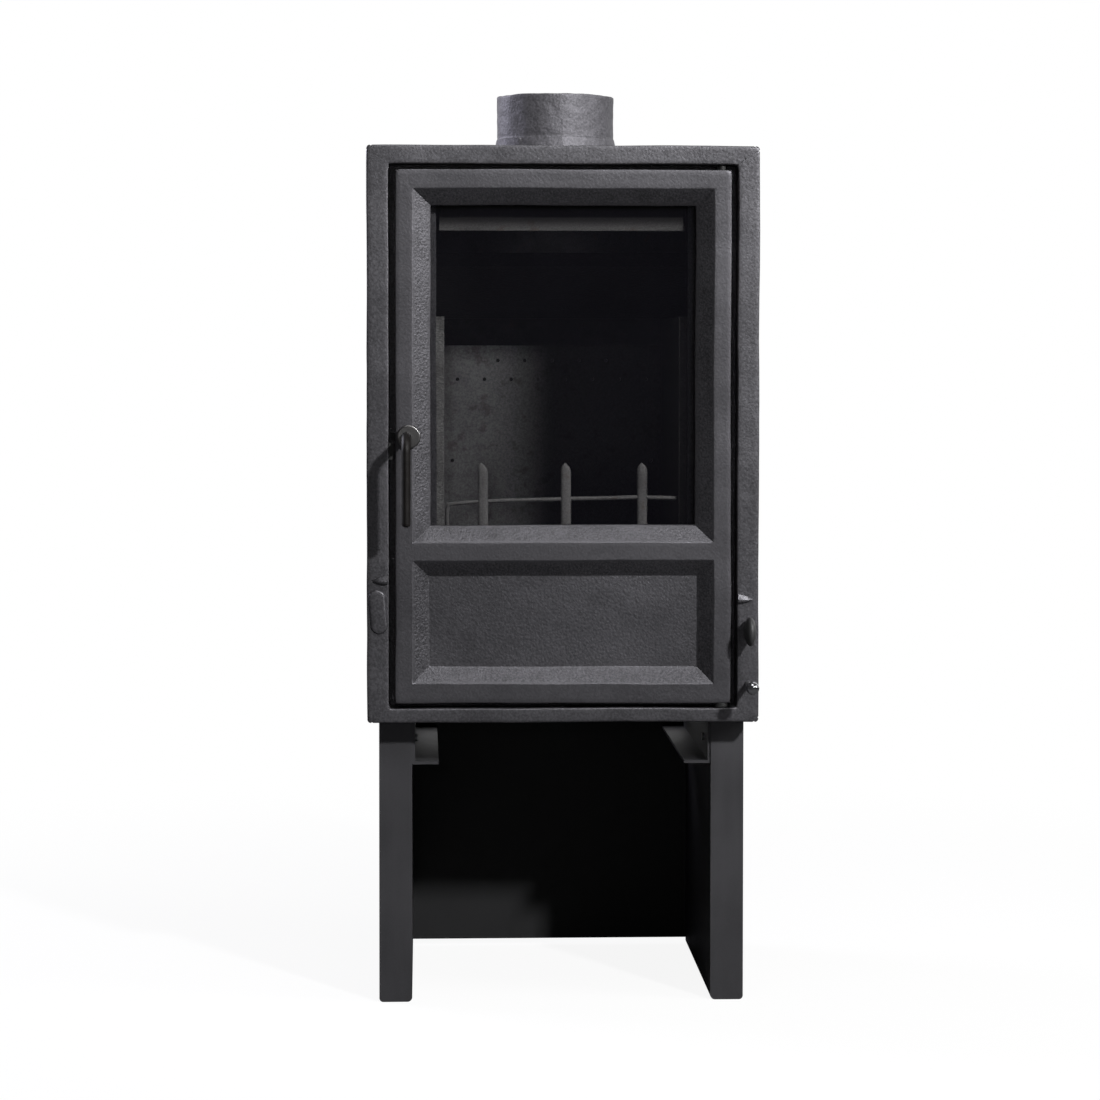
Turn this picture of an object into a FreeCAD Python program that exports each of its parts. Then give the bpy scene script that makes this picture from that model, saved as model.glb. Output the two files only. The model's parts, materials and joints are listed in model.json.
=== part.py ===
"""A cast-iron wood stove on a sheet-steel log stand, in millimetres.

The frame: +X to the right seen from the front, -Y towards the viewer, +Z up, with the origin on the floor
below the middle of the stove. Depths are measured back from the front face of the front frame, heights up
from the floor, and every place is an expression of the sizes in the sheet.
"""

import FreeCAD
import Part
import Sketcher

import os
import re

from FreeCAD import Rotation, Vector

SIZES = {
    # Body and casing
    "body_width": 395,
    "body_height": 580,
    "body_depth": 345,
    "casing_setback": 3,
    "casing_sheet": 3,
    "plate_thickness": 6,
    "vent_width": 8,
    "vent_height": 60,
    "vent_pitch": 24,
    "vent_count": 11,
    "vent_margin": 30,
    # Front frame
    "frame_depth": 36,
    "frame_side_rail": 22,
    "frame_top_rail": 19,
    "frame_bottom_rail": 14.5,
    "frame_edge_radius": 1.8,
    "opening_edge_radius": 1.5,
    "ledge_thickness": 8,
    "ledge_side_width": 48,
    "ledge_end_width": 25,
    "lug_length": 16,
    "lug_inset": 1,
    "lug_base_radius": 4.5,
    "lug_tip_radius": 0.6,
    "left_lug_height": 145,
    "right_lug_height": 125,
    "cap_width": 17,
    "cap_height": 45,
    "cap_thickness": 1.8,
    "cap_centre_height": 112,
    "cap_edge_radius": 0.8,
    "cap_pin_diameter": 5,
    "cap_pin_length": 8,
    # Door
    "door_thickness": 24,
    "door_side_gap": 6.5,
    "door_end_gap": 4.75,
    "door_side_rim": 17.5,
    "door_top_rim": 19,
    "door_bottom_rim": 20,
    "door_mid_rail": 18,
    "door_edge_radius": 1.5,
    "bevel_depth": 14,
    "window_bevel_side": 18,
    "window_bevel_end": 17,
    "panel_bevel": 16,
    "panel_height": 92,
    "panel_setback": 13,
    "panel_thickness": 6,
    "glass_thickness": 4,
    "glass_overlap": 10,
    "glass_clearance": 0.5,
    "glass_gasket_thickness": 2,
    "glass_gasket_width": 9,
    "clip_width": 14,
    "clip_thickness": 1.5,
    "clip_grip": 6,
    "clip_foot": 6,
    "side_clip_spacing": 220,
    "end_clip_spacing": 160,
    "clip_screw_diameter": 3,
    "clip_screw_head": 5.5,
    "clip_screw_head_height": 2,
    "clip_screw_length": 8,
    "rope_inset": 11,
    "rope_width": 8,
    "rope_groove_depth": 5,
    "rope_groove_clearance": 0.2,
    "rope_edge_radius": 2.5,
    "seal_gap": 0.3,
    # Hinge
    "hinge_inset": 9,
    "hinge_setback": 8,
    "hinge_pin_diameter": 8,
    "hinge_pin_grip": 10,
    "hinge_pin_reach": 14,
    "hinge_fit": 0.05,
    "hinge_end_play": 0.5,
    "hinge_washer_diameter": 15,
    "hinge_washer_float": 0.3,
    # Handle and latch
    "spindle_inset": 11,
    "handle_height": 268.75,
    "lever_diameter": 9,
    "lever_standoff": 52,
    "lever_bend_radius": 13,
    "lever_length": 88,
    "lever_tip_radius": 3,
    "spindle_fit": 0.05,
    "spindle_end_wall": 0.5,
    "spindle_end_play": 0.3,
    "rosette_diameter": 24,
    "rosette_thickness": 5,
    "rosette_offset": 2.5,
    "rosette_edge_radius": 2,
    "rosette_boss_diameter": 19,
    "tongue_setback": 12,
    "tongue_thickness": 5,
    "tongue_play": 0.5,
    "tongue_hub_diameter": 16,
    "tongue_reach": 16,
    "tongue_height": 8,
    "tongue_pin_diameter": 3,
    "tongue_slot_margin": 4,
    "keeper_thickness": 5,
    "keeper_depth": 5.5,
    "keeper_height": 16.5,
    "keeper_clearance": 1,
    "keeper_gap": 2.5,
    "keeper_screw_diameter": 2.6,
    "keeper_screw_head": 4.4,
    "keeper_screw_head_height": 2,
    "keeper_screw_length": 12,
    "keeper_screw_spacing": 8,
    # Firebox
    "firebox_side_gap": 43.5,
    "firebox_rear_gap": 39,
    "firebox_sheet": 4,
    "fire_floor_height": 161,
    "fire_floor_thickness": 12,
    "lining_thickness": 30.5,
    "lining_height": 248,
    "lining_front_gap": 4,
    "air_plate_thickness": 4,
    "air_plate_height": 219,
    "air_channel_depth": 17,
    "air_hole_diameter": 4,
    "air_hole_pitch": 29.5,
    "low_air_row_inset": 37,
    "high_air_row_inset": 16.4,
    "low_air_hole_count": 8,
    "high_air_hole_count": 5,
    "side_air_hole_offset": 109,
    "side_air_hole_height": 93,
    "baffle_thickness": 14,
    "baffle_flat": 80,
    "baffle_slope": 115,
    "baffle_rise": 53,
    "baffle_play": 0.5,
    "airwash_side_gap": 3,
    "airwash_height": 54,
    "airwash_thickness": 4,
    "airwash_edge_offset": 84,
    "airwash_screw_inset": 21,
    "grate_width": 160,
    "grate_depth": 140,
    "grate_thickness": 6,
    "grate_setback": 95,
    "grate_ledge": 7,
    "grate_play": 0.5,
    "grate_slot_width": 6,
    "grate_slot_pitch": 14,
    "grate_slot_count": 10,
    "grate_border": 14,
    # Log fence
    "fence_setback": 44,
    "fence_thickness": 8,
    "fence_play": 1,
    "fence_floor_gap": 0.3,
    "fence_bar_width": 9.5,
    "fence_bar_height": 99,
    "fence_tip_length": 12,
    "fence_tip_width": 3,
    "fence_tip_radius": 1.4,
    "fence_base_height": 10,
    "fence_rail_height": 60,
    "fence_rail_thickness": 4,
    "fence_post_width": 3.5,
    "fence_corner_radius": 3,
    "left_bar_offset": -80,
    "middle_bar_offset": 4.5,
    "right_bar_offset": 82.5,
    # Ash pan
    "ash_shelf_height": 40,
    "ash_shelf_thickness": 3,
    "ash_pan_side_gap": 30,
    "ash_pan_depth": 200,
    "ash_pan_height": 70,
    "ash_pan_wall": 1.5,
    "ash_pan_setback": 80,
    "ash_pan_play": 0.3,
    "grip_width": 70,
    "grip_reach": 20,
    "grip_diameter": 8,
    "grip_height": 40,
    # Air controls
    "air_rod_diameter": 6,
    "air_rod_fit": 0.08,
    "air_rod_tail": 4,
    "air_slide_thickness": 3,
    "air_slide_play": 0.3,
    "air_tab_height": 14,
    "air_tab_margin": 1,
    "guide_width": 6,
    "guide_lip": 4,
    "guide_lip_thickness": 3,
    "primary_knob_diameter": 13,
    "primary_knob_reach": 45,
    "primary_neck_diameter": 8,
    "primary_neck_length": 2,
    "primary_rod_height": 38.6,
    "primary_slide_setback": 70,
    "primary_slide_length": 80,
    "primary_slide_height": 32,
    "primary_slide_offset": 46,
    "primary_port_length": 24,
    "primary_port_height": 16,
    "secondary_knob_width": 11,
    "secondary_knob_height": 29,
    "secondary_knob_depth": 34,
    "secondary_knob_gap": 2,
    "secondary_knob_radius": 4.5,
    "secondary_rod_height": 93,
    "secondary_slide_rear_gap": 0.5,
    "secondary_slide_length": 35.5,
    "secondary_slide_height": 163,
    "secondary_slide_offset": 82,
    "secondary_port_length": 12,
    "secondary_port_height": 60,
    "port_margin": 8,
    "guide_gap": 8,
    "primary_guide_length": 95,
    "secondary_guide_length": 25,
    # Flue collar
    "flue_setback": 205,
    "collar_diameter": 124,
    "collar_bore": 112,
    "collar_height": 62,
    "collar_base_diameter": 130,
    "collar_base_height": 17.5,
    "collar_rim_radius": 1.5,
    "collar_gasket_thickness": 2,
    "collar_screw_circle": 121,
    "collar_screw_length": 20,
    "flue_hole_diameter": 110,
    # Stand
    "stand_height": 290,
    "stand_rear_inset": 7,
    "stand_front_setback": 38,
    "stand_side_inset": 11.5,
    "stand_leg_width": 33.5,
    "stand_sheet": 3,
    "leg_inner_radius": 5,
    "leg_outer_radius": 4,
    "bearer_thickness": 6,
    "stand_panel_floor_gap": 7.5,
    "stand_panel_gap": 25,
    "stand_panel_margin": 3,
    "panel_screw_margin": 30,
    "shelf_rail_width": 27,
    "shelf_rail_height": 45,
    "shelf_rail_thickness": 3,
    "shelf_rail_rear_gap": 2,
    "shelf_rail_setback": 40,
    "shelf_rail_gap": 2,
    "rail_screw_margin": 40,
    # Fasteners
    "fixed_fit": 0.02,
    "tie_rod_diameter": 8,
    "tie_rod_inset": 25.5,
    "tie_rod_end_inset": 26,
    "tie_rod_grip": 6,
    "tie_nut_width": 13,
    "tie_nut_height": 8,
    "stand_bolt_diameter": 8,
    "stand_bolt_head": 13,
    "stand_bolt_head_height": 5.3,
    "stand_bolt_length": 20,
    "stand_bolt_margin": 42,
    "screw_diameter": 4,
    "screw_head": 7.5,
    "screw_head_height": 2.5,
    "screw_length": 12,
}

# Planes of the body and the front frame
FRONT = "((lever_standoff + lever_diameter / 2 - body_depth - tie_nut_height) / 2)"
BODY_SIDE = "(body_width / 2)"
BODY_TOP = "(stand_height + body_height)"
INNER_FLOOR = "(stand_height + plate_thickness)"
INNER_TOP = "(stand_height + body_height - plate_thickness)"
CASING_SIDE = "(body_width / 2 - casing_setback)"
CASING_INSIDE = "(body_width / 2 - casing_setback - casing_sheet)"
OPENING_SIDE = "(body_width / 2 - frame_side_rail)"
OPENING_TOP = "(stand_height + body_height - frame_top_rail)"
OPENING_FLOOR = "(stand_height + frame_bottom_rail)"
LEDGE_FRONT = "(frame_depth - ledge_thickness)"
LEDGE_SIDE = f"({OPENING_SIDE} - ledge_side_width)"
LEDGE_TOP = f"({OPENING_TOP} - ledge_end_width)"
LEDGE_FLOOR = f"({OPENING_FLOOR} + ledge_end_width)"
RAIL_CENTRE = "(body_width / 2 - frame_side_rail / 2)"

# Planes of the door
DOOR_SIDE = f"({OPENING_SIDE} - door_side_gap)"
DOOR_TOP = f"({OPENING_TOP} - door_end_gap)"
DOOR_FLOOR = f"({OPENING_FLOOR} + door_end_gap)"
RIM_SIDE = f"({DOOR_SIDE} - door_side_rim)"
WINDOW_SIDE = f"({RIM_SIDE} - window_bevel_side)"
WINDOW_TOP = f"({DOOR_TOP} - door_top_rim - window_bevel_end)"
PANEL_SIDE = f"({RIM_SIDE} - panel_bevel)"
PANEL_FLOOR = f"({DOOR_FLOOR} + door_bottom_rim + panel_bevel)"
PANEL_TOP = f"({PANEL_FLOOR} + panel_height)"
WINDOW_FLOOR = f"({PANEL_TOP} + panel_bevel + door_mid_rail + window_bevel_end)"
WINDOW_MIDDLE = f"(({WINDOW_TOP} + {WINDOW_FLOOR}) / 2)"
REBATE_FRONT = "(door_thickness - glass_thickness - glass_gasket_thickness)"
GLASS_FRONT = "(door_thickness - glass_thickness)"
GLASS_SIDE = f"({WINDOW_SIDE} + glass_overlap)"
GLASS_TOP = f"({WINDOW_TOP} + glass_overlap)"
GLASS_FLOOR = f"({WINDOW_FLOOR} - glass_overlap)"
GROOVE_FLOOR = "(door_thickness - rope_groove_depth)"
ROPE_SIDE = f"({DOOR_SIDE} - rope_inset)"
ROPE_TOP = f"({DOOR_TOP} - rope_inset)"
ROPE_FLOOR = f"({DOOR_FLOOR} + rope_inset)"
ROPE_BACK = f"({LEDGE_FRONT} - seal_gap)"
HINGE_X = f"({DOOR_SIDE} - hinge_inset)"

# Places of the handle and the latch
SPINDLE_X = f"(spindle_inset - {DOOR_SIDE})"
SPINDLE_Z = f"({DOOR_FLOOR} + handle_height)"
SPINDLE_BORE_END = f"({GROOVE_FLOOR} - spindle_end_wall)"
SPINDLE_END = f"({SPINDLE_BORE_END} - spindle_end_play)"
ROSETTE_X = f"({SPINDLE_X} + rosette_offset)"
TONGUE_BACK = "(tongue_setback + tongue_thickness)"
KEEPER_TOP = f"({SPINDLE_Z} - tongue_height / 2 - keeper_gap)"
KEEPER_BACK = "(tongue_setback - keeper_clearance)"
KEEPER_FACE = f"(keeper_thickness - {OPENING_SIDE})"

# Planes of the firebox
WALL_OUTSIDE = "(body_width / 2 - firebox_side_gap)"
WALL_INSIDE = "(body_width / 2 - firebox_side_gap - firebox_sheet)"
FIREBOX_BACK = "(body_depth - firebox_rear_gap)"
FIRE_FLOOR = "(stand_height + fire_floor_height)"
LINING_FACE = f"({WALL_INSIDE} - lining_thickness)"
LINING_TOP = f"({FIRE_FLOOR} + lining_height)"
AIR_PLATE_BACK = f"({FIREBOX_BACK} - air_channel_depth)"
AIR_PLATE_FRONT = f"({AIR_PLATE_BACK} - air_plate_thickness)"
AIR_PLATE_TOP = f"({FIRE_FLOOR} + air_plate_height)"
SHELF_TOP = "(stand_height + ash_shelf_height + ash_shelf_thickness)"
PAN_FLOOR = f"({SHELF_TOP} + ash_pan_play)"
AIRWASH_FLOOR = f"({BODY_TOP} - airwash_edge_offset)"
AIRWASH_TOP = f"({AIRWASH_FLOOR} + airwash_height)"
AIRWASH_BACK = "(frame_depth + airwash_thickness)"
AIRWASH_SIDE = f"({LEDGE_SIDE} - airwash_side_gap)"
AIRWASH_SCREW_X = f"({AIRWASH_SIDE} - airwash_screw_inset)"
AIRWASH_SCREW_Z = f"(({LEDGE_TOP} + {AIRWASH_TOP}) / 2)"
GRATE_SEAT = f"({FIRE_FLOOR} - grate_thickness)"

# Planes of the flue collar and the stand
COLLAR_FLOOR = f"({BODY_TOP} + collar_gasket_thickness)"
LEG_OUTSIDE = "(body_width / 2 - stand_side_inset)"
LEG_INSIDE = "(body_width / 2 - stand_side_inset - stand_leg_width)"
LEG_CENTRE = "(body_width / 2 - stand_side_inset - stand_leg_width / 2)"
STAND_BACK = "(body_depth - stand_rear_inset)"
BEARER_FLOOR = "(stand_height - bearer_thickness)"
RAIL_TOP = "(stand_height - shelf_rail_gap)"
RAIL_FLOOR = "(stand_height - shelf_rail_gap - shelf_rail_height)"
RAIL_BACK = f"({STAND_BACK} - shelf_rail_rear_gap)"
STAND_PANEL_TOP = "(stand_height - stand_panel_gap)"

# Places of the tie rods and the two air controls
TIE_ROD_X = "(body_width / 2 - tie_rod_inset)"
TIE_ROD_HEIGHTS = ("(stand_height + tie_rod_end_inset)", f"({BODY_TOP} - tie_rod_end_inset)")
PRIMARY_Z = "(stand_height + primary_rod_height)"
SECONDARY_Z = "(stand_height + secondary_rod_height)"
SLIDE_INSIDE = f"({WALL_OUTSIDE} + air_slide_play)"
SLIDE_OUTSIDE = f"({SLIDE_INSIDE} + air_slide_thickness)"
SECONDARY_SLIDE_FRONT = f"({FIREBOX_BACK} - secondary_slide_rear_gap - secondary_slide_length)"

SIDES = ("left", "right")
TURNS = {"x": Rotation(Vector(0, 1, 0), 90), "y": Rotation(Vector(1, 0, 0), -90), "z": Rotation()}
NAME = re.compile(r"[a-z][a-z0-9_]*")
TINY = 0.001

doc = FreeCAD.newDocument("wood_stove")
sheet = doc.addObject("Spreadsheet::Sheet", "Sizes")
nodes = []


def fill_sheet():
    """Write every driving size to the sheet as a plain number under its own name."""
    for row, (alias, number) in enumerate(SIZES.items(), start=1):
        sheet.set(f"A{row}", alias)
        sheet.set(f"B{row}", str(number))
        sheet.setAlias(f"B{row}", alias)
    doc.recompute()


def cells(expression):
    """The expression with each size name written as its cell in the sheet."""
    return NAME.sub(lambda word: f"Sizes.{word[0]}" if word[0] in SIZES else word[0], str(expression))


def bind(thing, bindings):
    """Tie properties of a document object to expressions of the sizes."""
    for name, expression in bindings.items():
        thing.setExpression(name, cells(expression))


def measure(expression):
    """The number that an expression of the sizes gives now."""
    return float(sheet.evalExpression(cells(expression)))


def place(thing, x, depth, z):
    """Tie an object's place to a point given by X, depth behind the front face, and Z."""
    bind(thing, {"Placement.Base.x": x, "Placement.Base.y": f"{FRONT} + {depth}", "Placement.Base.z": z})


def mirrored(span):
    """The same span on the other side of the middle plane."""
    return f"-({span[1]})", f"-({span[0]})"


def sided(span, side):
    """A span given for the right side, as it lies on the named side."""
    return span if side == "right" else mirrored(span)


def across(half_width):
    """The span from minus to plus a half width."""
    return f"-({half_width})", half_width


def centred(middle, width):
    """The span of a width about a middle."""
    return f"{middle} - ({width}) / 2", f"{middle} + ({width}) / 2"


def node(name, thing):
    """Name an object as a sub-part of the stove."""
    thing.Label = name
    nodes.append(thing)
    return thing


def block(name, x_span, depths, heights):
    """A box between three pairs of planes."""
    box = doc.addObject("Part::Box", name)
    bind(box, {
        "Length": f"({x_span[1]}) - ({x_span[0]})",
        "Width": f"({depths[1]}) - ({depths[0]})",
        "Height": f"({heights[1]}) - ({heights[0]})",
    })
    place(box, x_span[0], depths[0], heights[0])
    return box


def bar(name, along, centre, span, diameter):
    """A round bar along one axis, centred on the other two, which are given in X, depth, Z order."""
    cylinder = doc.addObject("Part::Cylinder", name)
    cylinder.Placement.Rotation = TURNS[along]
    bind(cylinder, {"Radius": f"({diameter}) / 2", "Height": f"({span[1]}) - ({span[0]})"})
    spot = dict(zip([axis for axis in "xyz" if axis != along], centre))
    spot[along] = span[0]
    place(cylinder, spot["x"], spot["y"], spot["z"])
    return cylinder


def hexagon(name, along, centre, span, flats):
    """A six-sided bar along one axis, measured across its flats."""
    prism = doc.addObject("Part::Prism", name)
    prism.Polygon = 6
    prism.Placement.Rotation = TURNS[along]
    bind(prism, {"Circumradius": f"{flats} / sqrt(3)", "Height": f"({span[1]}) - ({span[0]})"})
    spot = dict(zip([axis for axis in "xyz" if axis != along], centre))
    spot[along] = span[0]
    place(prism, spot["x"], spot["y"], spot["z"])
    return prism


def fused(name, things):
    """Several solids joined to one."""
    joined = doc.addObject("Part::MultiFuse", name)
    joined.Shapes = things
    joined.Refine = True
    return joined


def cut(name, base, tools):
    """A solid less every tool."""
    taken = doc.addObject("Part::Cut", name)
    taken.Base = base
    taken.Tool = tools[0] if len(tools) == 1 else fused(f"{name}_cuts", tools)
    taken.Refine = True
    return taken


def grouped(name, things):
    """Several separate solids in one sub-part."""
    group = doc.addObject("Part::Compound", name)
    group.Links = things
    return group


def rounded(name, base, radius, wanted):
    """A solid with the edges rounded whose box the test accepts."""
    doc.recompute()
    size = measure(radius)
    numbers = [count for count, edge in enumerate(base.Shape.Edges, start=1) if wanted(edge.BoundBox)]
    fillet = doc.addObject("Part::Fillet", name)
    fillet.Base = base
    fillet.Edges = [(number, size, size) for number in numbers]
    return fillet


def near(first, second):
    """Whether two lengths are the same but for rounding."""
    return abs(first - second) < TINY


def front_loop(depth, half_width, floor, top):
    """A test for the edges of a rectangle that lies at one depth."""
    level = measure(f"{FRONT} + {depth}")
    side = measure(half_width)
    low = measure(floor)
    high = measure(top)

    def wanted(box):
        flat = near(box.YMin, level) and near(box.YMax, level)
        upright = near(box.XLength, 0) and near(abs(box.XMin), side) and box.ZLength > TINY
        level_edge = near(box.ZLength, 0) and (near(box.ZMin, low) or near(box.ZMin, high))
        inside = box.XMax < side + TINY and box.ZMin > low - TINY and box.ZMax < high + TINY
        return flat and inside and (upright or level_edge)

    return wanted


def frustum(name, depths, outer, inner):
    """A four-sided taper from an outer rectangle in front to an inner one behind."""
    wedge = doc.addObject("Part::Wedge", name)
    bind(wedge, {
        "Xmin": f"-({outer[0]})",
        "Xmax": outer[0],
        "Zmin": outer[1],
        "Zmax": outer[2],
        "X2min": f"-({inner[0]})",
        "X2max": inner[0],
        "Z2min": inner[1],
        "Z2max": inner[2],
        "Ymin": depths[0],
        "Ymax": depths[1],
    })
    place(wedge, "0", "0", "0")
    return wedge


def sketch_on(body, role, offset):
    """An empty sketch on one of the body's own planes, moved along the plane's normal."""
    plane = next(feature for feature in body.Origin.OriginFeatures if feature.Role == role)
    sketch = body.newObject("Sketcher::SketchObject", f"{body.Name}_outline")
    sketch.AttachmentSupport = [(plane, "")]
    sketch.MapMode = "FlatFace"
    bind(sketch, {"AttachmentOffset.Base.z": offset})
    return sketch


def pin_point(sketch, geometry, corner, point):
    """Hold a point of a sketch at a place given by two expressions."""
    for kind, expression in zip(("DistanceX", "DistanceY"), point):
        limit = Sketcher.Constraint(kind, -1, 1, geometry, corner, measure(expression))
        bind(sketch, {f"Constraints[{sketch.addConstraint(limit)}]": expression})


def closed_outline(sketch, points):
    """A closed run of straight lines through points given as expressions."""
    first = sketch.GeometryCount
    spots = [Vector(measure(x), measure(y), 0) for x, y in points]
    for start, end in zip(spots, spots[1:] + spots[:1]):
        sketch.addGeometry(Part.LineSegment(start, end), False)
    count = len(points)
    for index, point in enumerate(points):
        sketch.addConstraint(
            Sketcher.Constraint("Coincident", first + index, 2, first + (index + 1) % count, 1)
        )
        pin_point(sketch, first + index, 1, point)


def rectangle(sketch, x_span, y_span):
    """A closed rectangle between two pairs of lines."""
    corners = [(0, 0), (1, 0), (1, 1), (0, 1)]
    closed_outline(sketch, [(x_span[column], y_span[row]) for column, row in corners])


def pad(body, sketch, length):
    """Thicken a sketch along its plane's normal."""
    feature = body.newObject("PartDesign::Pad", f"{body.Name}_pad")
    feature.Profile = sketch
    bind(feature, {"Length": length})
    return feature


def pocket(body, sketch, length):
    """Sink a sketch into the body, against its plane's normal."""
    feature = body.newObject("PartDesign::Pocket", f"{body.Name}_pocket")
    feature.Profile = sketch
    bind(feature, {"Length": length})
    return feature


def extruded(name, along, span, outlines):
    """A body of closed outlines carried along one axis.

    Outlines are points (depth, Z) along x, (X, Z) along y, and (X, depth) along z.
    """
    body = doc.addObject("PartDesign::Body", name)
    role = {"x": "YZ_Plane", "y": "XZ_Plane", "z": "XY_Plane"}[along]
    offset = f"-({FRONT} + {span[1]})" if along == "y" else span[0]
    sketch = sketch_on(body, role, offset)
    for points in outlines:
        if along == "x":
            points = [(f"{FRONT} + {depth}", height) for depth, height in points]
        if along == "z":
            points = [(x, f"{FRONT} + {depth}") for x, depth in points]
        closed_outline(sketch, points)
    pad(body, sketch, f"({span[1]}) - ({span[0]})")
    return body


def softened(body, radius, wanted):
    """Round the edges of a body whose box the test accepts."""
    doc.recompute()
    tip = body.Tip
    names = [f"Edge{count}" for count, edge in enumerate(tip.Shape.Edges, start=1) if wanted(edge.BoundBox)]
    fillet = body.newObject("PartDesign::Fillet", f"{body.Name}_fillet")
    fillet.Base = (tip, names)
    bind(fillet, {"Radius": radius})
    return body


def repeated(body, feature, direction, pitch, count):
    """A row of a feature, evenly spaced along an axis of its sketch."""
    row = body.newObject("PartDesign::LinearPattern", f"{body.Name}_row")
    row.Originals = [feature]
    row.Direction = direction
    bind(row, {"Length": f"{pitch} * ({count} - 1)", "Occurrences": count})
    body.Tip = row
    return row


def screw(name, along, centre, seat, reach, sizes="screw"):
    """A cheese-head screw; reach is the signed length of its shank from the seat of the head."""
    if reach.startswith("-"):
        head_span = (seat, f"{seat} + {sizes}_head_height")
        shank_span = (f"{seat} {reach}", seat)
    else:
        head_span = (f"{seat} - {sizes}_head_height", seat)
        shank_span = (seat, f"{seat} + {reach}")
    head = bar(f"{name}_head", along, centre, head_span, f"{sizes}_head")
    shank = bar(f"{name}_shank", along, centre, shank_span, f"{sizes}_diameter")
    return fused(name, [head, shank])


def bore(name, along, centre, span, diameter, fit="fixed_fit"):
    """The hole for a round piece, larger all round by the fit."""
    return bar(name, along, centre, span, f"{diameter} + 2 * {fit}")


def corners(x, pair):
    """The four points on both sides at two heights or depths."""
    return [(sign + x, level) for sign in ("-", "") for level in pair]


def front_frame():
    """The cast rim round the door, with the ledge that the rope seal meets and two fin lugs."""
    outer = block("frame_outer", across(BODY_SIDE), ("0", "frame_depth"), ("stand_height", BODY_TOP))
    opening = block("frame_opening", across(OPENING_SIDE), ("0", LEDGE_FRONT), (OPENING_FLOOR, OPENING_TOP))
    throat = block("frame_throat", across(LEDGE_SIDE), (LEDGE_FRONT, "frame_depth"), (LEDGE_FLOOR, LEDGE_TOP))
    casting = cut("frame_casting", outer, [opening, throat])
    outer_edges = front_loop("0", BODY_SIDE, "stand_height", BODY_TOP)
    side = measure(BODY_SIDE)

    def outer_wanted(box):
        inner_line = near(box.XLength, 0) and abs(box.XMin) < side - TINY
        inner_level = near(box.ZLength, 0) and box.XMax < side - TINY
        along_depth = box.YLength > TINY and near(abs(box.XMin), side) and near(box.XLength, 0)
        return along_depth or (outer_edges(box) and not inner_line and not inner_level)

    soft = rounded("frame_soft_rim", casting, "frame_edge_radius", outer_wanted)
    inner_wanted = front_loop("0", OPENING_SIDE, OPENING_FLOOR, OPENING_TOP)
    soft = rounded("frame_soft_opening", soft, "opening_edge_radius", inner_wanted)
    holes = frame_holes()
    return node("front_frame", cut("front_frame", fused("frame_with_lugs", [soft] + fin_lugs()), holes))


def fin_lugs():
    """Two half-sunk cones on the side rails, each tapering outwards."""
    lugs = []
    for side in SIDES:
        lug = doc.addObject("Part::Cone", f"{side}_fin_lug")
        sign = "" if side == "right" else "-"
        lug.Placement.Rotation = Rotation(Vector(0, 1, 0), 90 if side == "right" else -90)
        bind(lug, {"Radius1": "lug_base_radius", "Radius2": "lug_tip_radius", "Height": "lug_length"})
        place(lug, f"{sign}({OPENING_SIDE} + lug_inset)", "0", f"stand_height + {side}_lug_height")
        lugs.append(lug)
    return lugs


def frame_holes():
    """The holes in the frame for hinge pins, tie rods, air rods, cap pins and screws."""
    pin_floor = (f"{OPENING_FLOOR} - hinge_pin_grip", OPENING_FLOOR)
    pin_top = (OPENING_TOP, f"{OPENING_TOP} + hinge_pin_grip")
    hinge = (HINGE_X, "hinge_setback")
    holes = [
        bore("frame_low_hinge_hole", "z", hinge, pin_floor, "hinge_pin_diameter"),
        bore("frame_high_hinge_hole", "z", hinge, pin_top, "hinge_pin_diameter"),
    ]
    for count, spot in enumerate(corners(TIE_ROD_X, TIE_ROD_HEIGHTS)):
        depths = ("frame_depth - tie_rod_grip", "frame_depth")
        holes.append(bore(f"frame_tie_hole_{count}", "y", spot, depths, "tie_rod_diameter"))
    for name, height in (("primary", PRIMARY_Z), ("secondary", SECONDARY_Z)):
        spot = (RAIL_CENTRE, height)
        depths = ("0", "frame_depth")
        holes.append(bore(f"frame_{name}_rod_hole", "y", spot, depths, "air_rod_diameter", "air_rod_fit"))
    for count, spot in enumerate(cap_pin_places()):
        holes.append(bore(f"frame_cap_hole_{count}", "y", spot, ("0", "cap_pin_length"), "cap_pin_diameter"))
    for count, height in enumerate(keeper_screw_heights()):
        reach = (f"{KEEPER_FACE} - keeper_screw_head_height - keeper_screw_length", f"-{OPENING_SIDE}")
        spot = (f"{KEEPER_BACK} - keeper_depth / 2", height)
        holes.append(bore(f"frame_keeper_hole_{count}", "x", spot, reach, "keeper_screw_diameter"))
    for count, sign in enumerate(("-", "")):
        spot = (f"{sign}{AIRWASH_SCREW_X}", AIRWASH_SCREW_Z)
        depths = (f"{AIRWASH_BACK} - screw_length", "frame_depth")
        holes.append(bore(f"frame_airwash_hole_{count}", "y", spot, depths, "screw_diameter"))
    return holes


def cap_pin_places():
    """The two pins of the blanking cap, one near each end."""
    middle = "stand_height + cap_centre_height"
    reach = "(cap_height - cap_width) / 2"
    return [(f"-{RAIL_CENTRE}", f"{middle} - {reach}"), (f"-{RAIL_CENTRE}", f"{middle} + {reach}")]


def keeper_screw_heights():
    """The heights of the keeper's two screws."""
    middle = f"{KEEPER_TOP} - keeper_height / 2"
    return centred(middle, "keeper_screw_spacing")


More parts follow.
